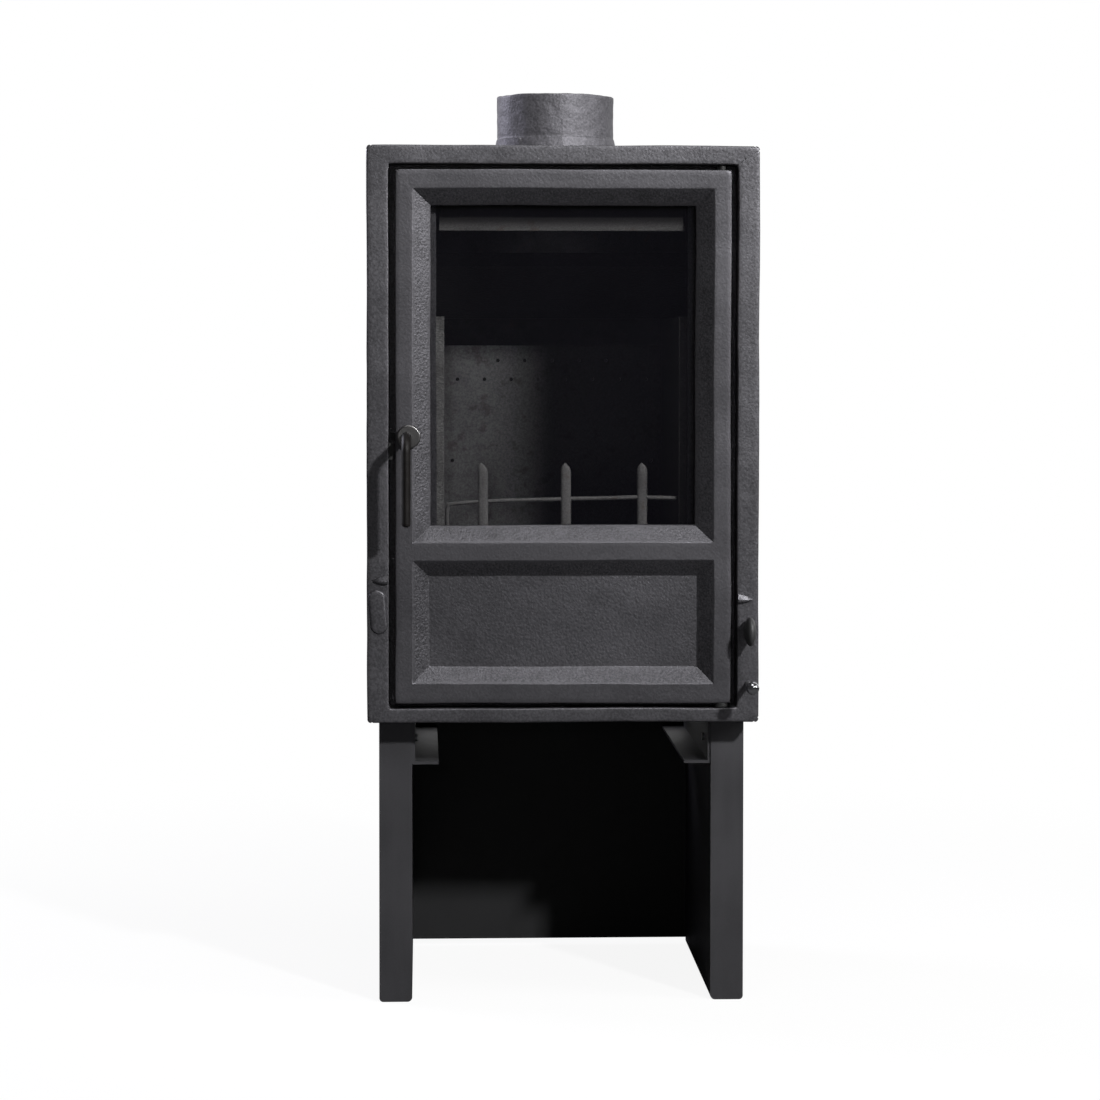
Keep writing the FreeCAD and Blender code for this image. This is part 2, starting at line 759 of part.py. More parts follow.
def oval_blanking_cap():
    """A flat oval cap with two pins that closes the unused control hole in the left rail."""
    depths = ("-cap_thickness", "0")
    low, high = cap_pin_places()
    ends = [bar(f"cap_end_{count}", "y", spot, depths, "cap_width") for count, spot in enumerate((low, high))]
    middle = block("cap_middle", centred(f"-{RAIL_CENTRE}", "cap_width"), depths, (low[1], high[1]))
    plate = fused("cap_plate", ends + [middle])
    front = measure(f"{FRONT} - cap_thickness")
    plate = rounded("cap_soft_plate", plate, "cap_edge_radius", lambda box: near(box.YMax, front))
    pins = [
        bar(f"cap_pin_{count}", "y", spot, ("0", "cap_pin_length"), "cap_pin_diameter")
        for count, spot in enumerate((low, high))
    ]
    node("oval_blanking_cap", fused("oval_blanking_cap", [plate] + pins))


def casing():
    """The outer side panels and back panel, and the top and base plates that they stand between."""
    heights = (INNER_FLOOR, INNER_TOP)
    behind = ("frame_depth", "body_depth")
    for side in SIDES:
        span = sided((CASING_INSIDE, CASING_SIDE), side)
        node(f"{side}_side_panel", block(f"{side}_side_panel", span, behind, heights))
    top = block("top_sheet", across(CASING_SIDE), behind, (INNER_TOP, BODY_TOP))
    flue = bar("top_flue_hole", "z", ("0", "flue_setback"), (INNER_TOP, BODY_TOP), "flue_hole_diameter")
    screw_holes = [
        bore(f"top_screw_hole_{count}", "z", spot, (INNER_TOP, BODY_TOP), "screw_diameter")
        for count, spot in enumerate(collar_screw_places())
    ]
    node("top_plate", cut("top_plate", top, [flue] + screw_holes))
    base = block("base_sheet", across(CASING_SIDE), behind, ("stand_height", INNER_FLOOR))
    bolt_holes = [
        bore(f"base_bolt_hole_{count}", "z", spot, ("stand_height", INNER_FLOOR), "stand_bolt_diameter")
        for count, spot in enumerate(stand_bolt_places())
    ]
    node("base_plate", cut("base_plate", base, bolt_holes))
    back_panel()


def back_panel():
    """The rear sheet, with a row of upright vents low down and another high up."""
    depths = ("body_depth - casing_sheet", "body_depth")
    left, right = across(CASING_INSIDE)
    outline = [(left, INNER_FLOOR), (right, INNER_FLOOR), (right, INNER_TOP), (left, INNER_TOP)]
    body = extruded("back_sheet", "y", depths, [outline])
    row = sketch_on(body, "XZ_Plane", f"-({FRONT} + {depths[0]})")
    first = centred("-vent_pitch * (vent_count - 1) / 2", "vent_width")
    rectangle(row, first, (f"{INNER_FLOOR} + vent_margin", f"{INNER_FLOOR} + vent_margin + vent_height"))
    rectangle(row, first, (f"{INNER_TOP} - vent_margin - vent_height", f"{INNER_TOP} - vent_margin"))
    vents = pocket(body, row, "casing_sheet")
    repeated(body, vents, (row, ["H_Axis"]), "vent_pitch", "vent_count")
    holes = [
        bore(f"back_tie_hole_{count}", "y", spot, depths, "tie_rod_diameter", "hinge_fit")
        for count, spot in enumerate(corners(TIE_ROD_X, TIE_ROD_HEIGHTS))
    ]
    node("back_panel", cut("back_panel", body, holes))


def tie_rods():
    """Four long rods that clamp the frame to the back panel, and their nuts."""
    rods = []
    nuts = []
    for count, spot in enumerate(corners(TIE_ROD_X, TIE_ROD_HEIGHTS)):
        end = "body_depth + tie_nut_height"
        rod_depths = ("frame_depth - tie_rod_grip", end)
        rods.append(bar(f"tie_rod_{count}", "y", spot, rod_depths, "tie_rod_diameter"))
        nut = hexagon(f"tie_nut_blank_{count}", "y", spot, ("body_depth", end), "tie_nut_width")
        thread = bore(f"tie_nut_thread_{count}", "y", spot, ("body_depth", end), "tie_rod_diameter")
        nuts.append(cut(f"tie_nut_{count}", nut, [thread]))
    node("tie_rods", grouped("tie_rods", rods))
    node("tie_rod_nuts", grouped("tie_rod_nuts", nuts))


def firebox_shell():
    """The inner walls, the ash shelf and the stepped floor that holds the grate."""
    behind = ("frame_depth", FIREBOX_BACK)
    heights = (INNER_FLOOR, INNER_TOP)
    left = block("firebox_left_wall", mirrored((WALL_INSIDE, WALL_OUTSIDE)), behind, heights)
    node("firebox_left_wall", left)
    right = block("right_wall_sheet", (WALL_INSIDE, WALL_OUTSIDE), behind, heights)
    node("firebox_right_wall", cut("firebox_right_wall", right, air_ports()))
    back = (FIREBOX_BACK, f"{FIREBOX_BACK} + firebox_sheet")
    node("firebox_back_wall", block("firebox_back_wall", across(WALL_OUTSIDE), back, heights))
    shelf = ("stand_height + ash_shelf_height", SHELF_TOP)
    node("ash_shelf", block("ash_shelf", across(WALL_INSIDE), behind, shelf))
    slab_heights = (f"{FIRE_FLOOR} - fire_floor_thickness", FIRE_FLOOR)
    slab = block("floor_slab", across(WALL_INSIDE), behind, slab_heights)
    hole_depths = ("grate_setback", "grate_setback + grate_depth")
    seat = block("grate_seat", across("grate_width / 2"), hole_depths, (GRATE_SEAT, FIRE_FLOOR))
    drop_depths = ("grate_setback + grate_ledge", "grate_setback + grate_depth - grate_ledge")
    drop_heights = (f"{FIRE_FLOOR} - fire_floor_thickness", GRATE_SEAT)
    drop = block("grate_drop", across("grate_width / 2 - grate_ledge"), drop_depths, drop_heights)
    node("firebox_floor", cut("firebox_floor", slab, [seat, drop]))


def air_ports():
    """The two holes in the right wall that the air slides cover."""
    wall = (WALL_INSIDE, WALL_OUTSIDE)
    primary_end = "primary_slide_setback + primary_slide_length - port_margin"
    primary_floor = "stand_height + primary_slide_offset + primary_slide_height / 2 - primary_port_height / 2"
    primary = block(
        "primary_port",
        wall,
        (f"{primary_end} - primary_port_length", primary_end),
        (primary_floor, f"{primary_floor} + primary_port_height"),
    )
    secondary_end = f"{FIREBOX_BACK} - air_channel_depth / 2 + secondary_port_length / 2"
    secondary_top = "stand_height + secondary_slide_offset + secondary_slide_height - port_margin"
    secondary = block(
        "secondary_port",
        wall,
        (f"{secondary_end} - secondary_port_length", secondary_end),
        (f"{secondary_top} - secondary_port_height", secondary_top),
    )
    return [primary, secondary]


def grate():
    """A slotted plate that drops into the floor."""
    half = "(grate_width / 2 - grate_play)"
    depths = ("grate_setback + grate_play", "grate_setback + grate_depth - grate_play")
    outline = [(f"-{half}", depths[0]), (half, depths[0]), (half, depths[1]), (f"-{half}", depths[1])]
    body = extruded("grate", "z", (GRATE_SEAT, FIRE_FLOOR), [outline])
    row = sketch_on(body, "XY_Plane", FIRE_FLOOR)
    slot_depths = (f"{FRONT} + grate_setback + grate_border",
                   f"{FRONT} + grate_setback + grate_depth - grate_border")
    rectangle(row, centred("-grate_slot_pitch * (grate_slot_count - 1) / 2", "grate_slot_width"), slot_depths)
    slots = pocket(body, row, "grate_thickness")
    repeated(body, slots, (row, ["H_Axis"]), "grate_slot_pitch", "grate_slot_count")
    node("grate", body)


def linings_and_plates():
    """The side linings, the perforated rear plate, the baffle and the air-wash plate."""
    depths = ("frame_depth + lining_front_gap", AIR_PLATE_FRONT)
    for side in SIDES:
        span = sided((LINING_FACE, WALL_INSIDE), side)
        node(f"{side}_lining", block(f"{side}_lining", span, depths, (FIRE_FLOOR, LINING_TOP)))
    plate_depths = (AIR_PLATE_FRONT, AIR_PLATE_BACK)
    face = block("air_plate_face", across(WALL_INSIDE), plate_depths, (FIRE_FLOOR, AIR_PLATE_TOP))
    fold_heights = (f"{AIR_PLATE_TOP} - air_plate_thickness", AIR_PLATE_TOP)
    fold = block("air_plate_fold", across(WALL_INSIDE), (AIR_PLATE_FRONT, FIREBOX_BACK), fold_heights)
    holes = [
        bar(f"air_hole_{count}", "y", spot, plate_depths, "air_hole_diameter")
        for count, spot in enumerate(air_hole_places())
    ]
    node("rear_air_plate", cut("rear_air_plate", fused("air_plate_blank", [face, fold]), holes))
    back = f"{FIREBOX_BACK} - baffle_play"
    bend = f"{back} - baffle_flat"
    lip = f"{bend} - baffle_slope"
    profile = [
        (back, LINING_TOP),
        (bend, LINING_TOP),
        (lip, f"{LINING_TOP} + baffle_rise"),
        (lip, f"{LINING_TOP} + baffle_rise + baffle_thickness"),
        (bend, f"{LINING_TOP} + baffle_thickness"),
        (back, f"{LINING_TOP} + baffle_thickness"),
    ]
    node("baffle_plate", extruded("baffle_plate", "x", across(f"({WALL_INSIDE} - baffle_play)"), [profile]))
    airwash_plate()


def air_hole_places():
    """The two rows of air holes and the two lone holes lower down."""
    places = []
    for row in ("low", "high"):
        count = SIZES[f"{row}_air_hole_count"]
        for index in range(count):
            offset = f"air_hole_pitch * ({index} - ({row}_air_hole_count - 1) / 2)"
            places.append((offset, f"{AIR_PLATE_TOP} - {row}_air_row_inset"))
    for sign in ("-", ""):
        places.append((f"{sign}side_air_hole_offset", f"{FIRE_FLOOR} + side_air_hole_height"))
    return places


def airwash_plate():
    """The plate behind the ledge that turns air down over the glass, and its two screws."""
    depths = ("frame_depth", AIRWASH_BACK)
    sheet_metal = block("airwash_sheet", across(AIRWASH_SIDE), depths, (AIRWASH_FLOOR, AIRWASH_TOP))
    holes = []
    screws = []
    for count, sign in enumerate(("-", "")):
        spot = (f"{sign}{AIRWASH_SCREW_X}", AIRWASH_SCREW_Z)
        holes.append(bore(f"airwash_hole_{count}", "y", spot, depths, "screw_diameter"))
        screws.append(screw(f"airwash_screw_{count}", "y", spot, AIRWASH_BACK, "-screw_length"))
    node("airwash_plate", cut("airwash_plate", sheet_metal, holes))
    node("airwash_screws", grouped("airwash_screws", screws))


def log_fence():
    """A cast fence of three pointed bars on a rail, which stands on the floor behind the glass."""
    half = f"({LINING_FACE} - fence_play)"
    floor = f"({FIRE_FLOOR} + fence_floor_gap)"
    rail_floor = f"{floor} + fence_rail_height"
    rail_top = f"{rail_floor} + fence_rail_thickness"
    tip = f"{floor} + fence_bar_height"
    shoulder = f"{tip} - fence_tip_length"
    bars = ("left_bar_offset", "middle_bar_offset", "right_bar_offset")
    outline = [(f"-{half}", floor), (half, floor), (half, rail_top)]
    for offset in reversed(bars):
        outline += [
            (f"{offset} + fence_bar_width / 2", rail_top),
            (f"{offset} + fence_bar_width / 2", shoulder),
            (f"{offset} + fence_tip_width / 2", tip),
            (f"{offset} - fence_tip_width / 2", tip),
            (f"{offset} - fence_bar_width / 2", shoulder),
            (f"{offset} - fence_bar_width / 2", rail_top),
        ]
    outline.append((f"-{half}", rail_top))
    starts = [f"fence_post_width - {half}"] + [f"{offset} + fence_bar_width / 2" for offset in bars]
    ends = [f"{offset} - fence_bar_width / 2" for offset in bars] + [f"{half} - fence_post_width"]
    base = f"{floor} + fence_base_height"
    gaps = [
        [(start, base), (end, base), (end, rail_floor), (start, rail_floor)]
        for start, end in zip(starts, ends)
    ]
    depths = ("fence_setback", "fence_setback + fence_thickness")
    body = extruded("log_fence", "y", depths, [outline] + gaps)
    low = measure(base)
    high = measure(rail_floor)
    peak = measure(tip)

    def gap_corner(box):
        return box.YLength > TINY and (near(box.ZMin, low) or near(box.ZMin, high))

    def bar_tip(box):
        return box.YLength > TINY and near(box.ZMin, peak)

    softened(body, "fence_corner_radius", gap_corner)
    softened(body, "fence_tip_radius", bar_tip)
    node("log_fence", body)


def ash_pan():
    """The open pan under the grate and its bent grip."""
    half = f"({WALL_INSIDE} - ash_pan_side_gap)"
    depths = ("ash_pan_setback", "ash_pan_setback + ash_pan_depth")
    outline = [(f"-{half}", depths[0]), (half, depths[0]), (half, depths[1]), (f"-{half}", depths[1])]
    top = f"{PAN_FLOOR} + ash_pan_height"
    body = extruded("ash_pan", "z", (PAN_FLOOR, top), [outline])
    mouth = sketch_on(body, "XY_Plane", top)
    inner = across(f"({half} - ash_pan_wall)")
    inner_depths = (f"{FRONT} + {depths[0]} + ash_pan_wall", f"{FRONT} + {depths[1]} - ash_pan_wall")
    rectangle(mouth, inner, inner_depths)
    pocket(body, mouth, "ash_pan_height - ash_pan_wall")
    node("ash_pan", body)
    height = f"{PAN_FLOOR} + grip_height"
    front = "ash_pan_setback - grip_reach + grip_diameter / 2"
    leg_depths = (front, "ash_pan_setback")
    legs = [
        bar(f"grip_leg_{count}", "y", (f"{sign}grip_width / 2", height), leg_depths, "grip_diameter")
        for count, sign in enumerate(("-", ""))
    ]
    handle = bar("grip_bar", "x", (front, height), across("grip_width / 2"), "grip_diameter")
    knuckles = []
    for count, sign in enumerate(("-", "")):
        ball = doc.addObject("Part::Sphere", f"grip_corner_{count}")
        bind(ball, {"Radius": "grip_diameter / 2"})
        place(ball, f"{sign}grip_width / 2", front, height)
        knuckles.append(ball)
    node("ash_pan_grip", fused("ash_pan_grip", legs + [handle] + knuckles))


def door_casting():
    """The door: a rim, a bevelled window, a bevelled lower panel, and seats for what it carries."""
    slab = block("door_slab", across(DOOR_SIDE), ("0", "door_thickness"), (DOOR_FLOOR, DOOR_TOP))
    window_floor = f"{WINDOW_FLOOR} - window_bevel_end"
    window_top = f"{WINDOW_TOP} + window_bevel_end"
    window = (WINDOW_SIDE, WINDOW_FLOOR, WINDOW_TOP)
    panel = (PANEL_SIDE, PANEL_FLOOR, PANEL_TOP)
    panel_rim = (RIM_SIDE, f"{PANEL_FLOOR} - panel_bevel", f"{PANEL_TOP} + panel_bevel")
    rebate_heights = (f"{GLASS_FLOOR} - glass_clearance", f"{GLASS_TOP} + glass_clearance")
    pocket_depths = ("panel_setback + panel_thickness", "door_thickness")
    hollows = [
        frustum("window_bevel", ("0", "bevel_depth"), (RIM_SIDE, window_floor, window_top), window),
        block("window_lip", across(WINDOW_SIDE), ("bevel_depth", REBATE_FRONT), (WINDOW_FLOOR, WINDOW_TOP)),
        block(
            "glass_rebate",
            across(f"({GLASS_SIDE} + glass_clearance)"),
            (REBATE_FRONT, "door_thickness"),
            rebate_heights,
        ),
        frustum("panel_bevel_cut", ("0", "panel_setback"), panel_rim, panel),
        block("panel_hollow", across(PANEL_SIDE), pocket_depths, (PANEL_FLOOR, PANEL_TOP)),
        rope_ring("rope_groove", (GROOVE_FLOOR, "door_thickness"), "rope_groove_clearance"),
    ]
    shell = cut("door_shell", slab, hollows)
    soft = rounded(
        "door_soft_rim", shell, "door_edge_radius", front_loop("0", DOOR_SIDE, DOOR_FLOOR, DOOR_TOP)
    )
    boss = bar("rosette_boss", "y", (ROSETTE_X, SPINDLE_Z), ("0", "bevel_depth"), "rosette_boss_diameter")
    node("door_casting", cut("door_casting", fused("door_with_boss", [soft, boss]), door_holes()))


def rope_ring(name, depths, clearance):
    """A rectangular ring along the door's edge, wider on each side by a clearance."""
    outer = block(
        f"{name}_outer",
        across(f"({ROPE_SIDE} + {clearance})"),
        depths,
        (f"{ROPE_FLOOR} - {clearance}", f"{ROPE_TOP} + {clearance}"),
    )
    inner = block(
        f"{name}_inner",
        across(f"({ROPE_SIDE} - rope_width - {clearance})"),
        depths,
        (f"{ROPE_FLOOR} + rope_width + {clearance}", f"{ROPE_TOP} - rope_width - {clearance}"),
    )
    return cut(name, outer, [inner])


def door_holes():
    """The door's bores for the hinge pins, the spindle and the clip screws, and the slot for the tongue."""
    hinge = (HINGE_X, "hinge_setback")
    low = (DOOR_FLOOR, f"{DOOR_FLOOR} + hinge_pin_reach + hinge_end_play")
    high = (f"{DOOR_TOP} - hinge_pin_reach - hinge_end_play", DOOR_TOP)
    spindle = (SPINDLE_X, SPINDLE_Z)
    slot_depths = ("tongue_setback - tongue_play", f"{TONGUE_BACK} + tongue_play")
    slot_span = (f"-{DOOR_SIDE}", f"{SPINDLE_X} + tongue_hub_diameter / 2 + tongue_play")
    slot_heights = (
        f"{SPINDLE_Z} - tongue_hub_diameter / 2 - tongue_slot_margin",
        f"{SPINDLE_Z} + tongue_reach + tongue_slot_margin",
    )
    holes = [
        bore("door_low_hinge_bore", "z", hinge, low, "hinge_pin_diameter", "hinge_fit"),
        bore("door_high_hinge_bore", "z", hinge, high, "hinge_pin_diameter", "hinge_fit"),
        bore("door_spindle_bore", "y", spindle, ("0", SPINDLE_BORE_END), "lever_diameter", "spindle_fit"),
        block("tongue_slot", slot_span, slot_depths, slot_heights),
    ]
    depths = ("door_thickness - clip_screw_length", "door_thickness")
    for count, (spot, _) in enumerate(clip_places()):
        holes.append(bore(f"door_clip_hole_{count}", "y", spot, depths, "clip_screw_diameter"))
    return holes


def clip_places():
    """Each glass clip's screw and the direction from the screw to the glass."""
    reach = "(clip_foot / 2 + glass_clearance)"
    places = []
    for sign in ("-", ""):
        inward = "1" if sign == "-" else "-1"
        for level in centred(WINDOW_MIDDLE, "side_clip_spacing"):
            places.append(((f"{sign}({GLASS_SIDE} + {reach})", level), (inward, "0")))
        places.append(((f"{sign}end_clip_spacing / 2", f"{GLASS_TOP} + {reach}"), ("0", "-1")))
        places.append(((f"{sign}end_clip_spacing / 2", f"{GLASS_FLOOR} - {reach}"), ("0", "1")))
    return places


def glazing():
    """The pane, the tape it beds on, and the clips and screws that hold it."""
    heights = (GLASS_FLOOR, GLASS_TOP)
    node("door_glass", block("door_glass", across(GLASS_SIDE), (GLASS_FRONT, "door_thickness"), heights))
    tape_depths = (REBATE_FRONT, GLASS_FRONT)
    tape = block("tape_outer", across(GLASS_SIDE), tape_depths, heights)
    hole_heights = (f"{GLASS_FLOOR} + glass_gasket_width", f"{GLASS_TOP} - glass_gasket_width")
    hole = block("tape_inner", across(f"({GLASS_SIDE} - glass_gasket_width)"), tape_depths, hole_heights)
    node("glass_gasket", cut("glass_gasket", tape, [hole]))
    clips = []
    screws = []
    plate_depths = ("door_thickness", "door_thickness + clip_thickness")
    length = "clip_foot / 2 + glass_clearance + clip_grip"
    for count, ((x, z), (step_x, step_z)) in enumerate(clip_places()):
        shift = f"({length} - clip_foot / 2) / 2"
        span = f"({length} + clip_foot / 2)"
        width = (span, "clip_width") if step_z == "0" else ("clip_width", span)
        blank = block(
            f"clip_blank_{count}",
            centred(f"{x} + ({step_x}) * {shift}", width[0]),
            plate_depths,
            centred(f"{z} + ({step_z}) * {shift}", width[1]),
        )
        hole = bore(f"clip_hole_{count}", "y", (x, z), plate_depths, "clip_screw_diameter")
        clips.append(cut(f"clip_{count}", blank, [hole]))
        screws.append(
            screw(f"clip_screw_{count}", "y", (x, z), plate_depths[1], "-(clip_screw_length)", "clip_screw")
        )
    node("glass_clips", grouped("glass_clips", clips))
    node("glass_clip_screws", grouped("glass_clip_screws", screws))


def door_rope_seal():
    """The soft rope in the groove round the back of the door."""
    ring = rope_ring("rope_blank", (GROOVE_FLOOR, ROPE_BACK), "0")
    back = measure(f"{FRONT} + {ROPE_BACK}")
    half = measure(ROPE_SIDE)

    def back_edges(box):
        return near(box.YMin, back) and near(box.YMax, back) and abs(box.XMin) < half + TINY

    node("door_rope_seal", rounded("door_rope_seal", ring, "rope_edge_radius", back_edges))


def hinge():
    """The two pivot pins of the door and the washer that carries its weight."""
    spot = (HINGE_X, "hinge_setback")
    low = (f"{OPENING_FLOOR} - hinge_pin_grip", f"{DOOR_FLOOR} + hinge_pin_reach")
    high = (f"{DOOR_TOP} - hinge_pin_reach", f"{OPENING_TOP} + hinge_pin_grip")
    pins = [
        bar("low_hinge_pin", "z", spot, low, "hinge_pin_diameter"),
        bar("high_hinge_pin", "z", spot, high, "hinge_pin_diameter"),
    ]
    node("hinge_pins", grouped("hinge_pins", pins))
    heights = (OPENING_FLOOR, f"{DOOR_FLOOR} - hinge_washer_float")
    ring = bar("washer_blank", "z", spot, heights, "hinge_washer_diameter")
    hole = bore("washer_hole", "z", spot, heights, "hinge_pin_diameter", "hinge_fit")
    node("hinge_washer", cut("hinge_washer", ring, [hole]))


def handle():
    """The rosette on the door, and the bent lever with its latch tongue."""
    rosette_depths = ("-rosette_thickness", "0")
    disc = bar("rosette_disc", "y", (ROSETTE_X, SPINDLE_Z), rosette_depths, "rosette_diameter")
    front = measure(f"{FRONT} - rosette_thickness")
    disc = rounded("rosette_soft_disc", disc, "rosette_edge_radius", lambda box: near(box.YMax, front))
    hole = bore("rosette_bore", "y", (SPINDLE_X, SPINDLE_Z), rosette_depths, "lever_diameter", "spindle_fit")
    node("handle_rosette", cut("handle_rosette", disc, [hole]))
    pin_span = centred(SPINDLE_Z, "tongue_hub_diameter")
    pin_spot = (SPINDLE_X, f"(tongue_setback + {TONGUE_BACK}) / 2")
    pin_hole = bore("lever_pin_hole", "z", pin_spot, pin_span, "tongue_pin_diameter")
    node("handle_lever", cut("handle_lever", lever_rod(), [pin_hole]))
    depths = ("tongue_setback", TONGUE_BACK)
    hub = bar("tongue_hub", "y", (SPINDLE_X, SPINDLE_Z), depths, "tongue_hub_diameter")
    arm_span = (f"{SPINDLE_X} - tongue_reach", SPINDLE_X)
    arm = block("tongue_arm", arm_span, depths, centred(SPINDLE_Z, "tongue_height"))
    seat = bore("tongue_seat", "y", (SPINDLE_X, SPINDLE_Z), depths, "lever_diameter")
    pin_way = bore("tongue_pin_hole", "z", pin_spot, pin_span, "tongue_pin_diameter")
    node("latch_tongue", cut("latch_tongue", fused("tongue_blank", [hub, arm]), [seat, pin_way]))
    pin_blank = bar("pin_blank", "z", pin_spot, pin_span, "tongue_pin_diameter")
    hub_limit = bar("pin_limit", "y", (SPINDLE_X, SPINDLE_Z), depths, "tongue_hub_diameter")
    trimmed = doc.addObject("Part::Common", "tongue_pin")
    trimmed.Base = pin_blank
    trimmed.Tool = hub_limit
    node("tongue_pin", trimmed)


def lever_rod():
    """A round rod: straight out from the door, round a bend, and down to its tip."""
    body = doc.addObject("PartDesign::Body", "lever_rod")
    inner_end = f"{FRONT} + {SPINDLE_END}"
    outer_line = f"{FRONT} - lever_standoff"
    tip = f"{SPINDLE_Z} - lever_length"
    radius = measure("lever_bend_radius")
    level = measure(SPINDLE_Z)
    plumb = measure(outer_line)
    centre = Vector(plumb + radius, level - radius, 0)
    path = sketch_on(body, "YZ_Plane", SPINDLE_X)
    bend_top = Vector(centre.x, level, 0)
    path.addGeometry(Part.LineSegment(Vector(measure(inner_end), level, 0), bend_top), False)
    bend = Part.Arc(
        bend_top,
        centre + Vector(-radius, radius, 0) / 2 ** 0.5,
        Vector(plumb, centre.y, 0),
    )
    path.addGeometry(bend, False)
    path.addGeometry(Part.LineSegment(Vector(plumb, centre.y, 0), Vector(plumb, measure(tip), 0)), False)
    bend_start, bend_end = (1, 2)
    path.addConstraint(Sketcher.Constraint("Tangent", 0, 2, 1, bend_start))
    path.addConstraint(Sketcher.Constraint("Tangent", 1, bend_end, 2, 1))
    path.addConstraint(Sketcher.Constraint("Horizontal", 0))
    path.addConstraint(Sketcher.Constraint("Vertical", 2))
    limits = [
        (Sketcher.Constraint("Radius", 1, radius), "lever_bend_radius"),
        (Sketcher.Constraint("DistanceX", -1, 1, 0, 1, measure(inner_end)), inner_end),
        (Sketcher.Constraint("DistanceY", -1, 1, 0, 1, level), SPINDLE_Z),
        (Sketcher.Constraint("DistanceX", -1, 1, 2, 2, plumb), outer_line),
        (Sketcher.Constraint("DistanceY", -1, 1, 2, 2, measure(tip)), tip),
    ]
    for limit, expression in limits:
        bind(path, {f"Constraints[{path.addConstraint(limit)}]": expression})
    section = sketch_on(body, "XZ_Plane", f"-({inner_end})")
    spot = Vector(measure(SPINDLE_X), level, 0)
    section.addGeometry(Part.Circle(spot, Vector(0, 0, 1), measure("lever_diameter / 2")), False)
    pin_point(section, 0, 3, (SPINDLE_X, SPINDLE_Z))
    girth = Sketcher.Constraint("Diameter", 0, measure("lever_diameter"))
    bind(section, {f"Constraints[{section.addConstraint(girth)}]": "lever_diameter"})
    doc.recompute()
    pipe = body.newObject("PartDesign::AdditivePipe", "lever_pipe")
    pipe.Profile = section
    pipe.Spine = path
    doc.recompute()
    floor = measure(tip)
    return softened(body, "lever_tip_radius", lambda box: near(box.ZMin, floor) and near(box.ZMax, floor))


def latch_keeper():
    """The block on the frame that the tongue turns behind, and its two sunk screws."""
    span = (f"-{OPENING_SIDE}", KEEPER_FACE)
    depths = (f"{KEEPER_BACK} - keeper_depth", KEEPER_BACK)
    blank = block("keeper_blank", span, depths, (f"{KEEPER_TOP} - keeper_height", KEEPER_TOP))
    holes = []
    screws = []
    seat = f"{KEEPER_FACE} - keeper_screw_head_height"
    for count, height in enumerate(keeper_screw_heights()):
        spot = (f"{KEEPER_BACK} - keeper_depth / 2", height)
        holes.append(bore(f"keeper_hole_{count}", "x", spot, span, "keeper_screw_diameter"))
        holes.append(bore(f"keeper_sink_{count}", "x", spot, (seat, KEEPER_FACE), "keeper_screw_head"))
        screws.append(screw(f"keeper_screw_{count}", "x", spot, seat, "-keeper_screw_length", "keeper_screw"))
    node("latch_keeper", cut("latch_keeper", blank, holes))
    node("keeper_screws", grouped("keeper_screws", screws))


def air_control(name, front, rod_height, rod_front):
    """An air slide with its bent tab and the rod that pulls it, and the two guides it runs in."""
    lift = f"(stand_height + {name}_slide_offset)"
    top = f"({lift} + {name}_slide_height)"
    back = f"{front} + {name}_slide_length"
    tab_back = f"{front} + air_slide_thickness"
    plate = block(f"{name}_plate", (SLIDE_INSIDE, SLIDE_OUTSIDE), (front, back), (lift, top))
    tab_span = (SLIDE_INSIDE, f"{RAIL_CENTRE} + air_rod_diameter / 2 + air_tab_margin")
    tab_heights = (f"{rod_height} - air_tab_height / 2", f"{rod_height} + air_tab_height / 2")
    tab = block(f"{name}_tab", tab_span, (front, tab_back), tab_heights)
    web_heights = (f"{rod_height} - air_tab_height / 2", top)
    web = block(f"{name}_web", (SLIDE_INSIDE, SLIDE_OUTSIDE), (front, tab_back), web_heights)
    rod_spot = (RAIL_CENTRE, rod_height)
    hole = bore(f"{name}_tab_hole", "y", rod_spot, (front, tab_back), "air_rod_diameter")
    blank = fused(f"{name}_slide_blank", [plate, tab, web])
    node(f"{name}_air_slide", cut(f"{name}_air_slide", blank, [hole]))
    rod_end = f"{tab_back} + air_rod_tail"
    node(f"{name}_air_rod", bar(f"{name}_air_rod", "y", rod_spot, (rod_front, rod_end), "air_rod_diameter"))
    guide_front = f"{front} + air_slide_thickness + guide_gap"
    guide_depths = (guide_front, f"{guide_front} + {name}_guide_length")
    return slide_guides(name, guide_depths, lift, top)


def slide_guides(name, depths, low, high):
    """Two angle strips on the firebox wall, above and below a slide."""
    lip_inside = f"({SLIDE_OUTSIDE} + air_slide_play)"
    lip = (lip_inside, f"{lip_inside} + guide_lip_thickness")
    foot = (WALL_OUTSIDE, f"{lip_inside} + guide_lip_thickness")
    low_top = f"({low} - air_slide_play)"
    high_floor = f"({high} + air_slide_play)"
    strips = []
    for edge, foot_heights, lip_heights in (
        ("low", (f"{low_top} - guide_width", low_top), (low_top, f"{low_top} + guide_lip")),
        ("high", (high_floor, f"{high_floor} + guide_width"), (f"{high_floor} - guide_lip", high_floor)),
    ):
        pieces = [
            block(f"{name}_{edge}_guide_foot", foot, depths, foot_heights),
            block(f"{name}_{edge}_guide_lip", lip, depths, lip_heights),
        ]
        strips.append(fused(f"{name}_{edge}_guide", pieces))
    return strips


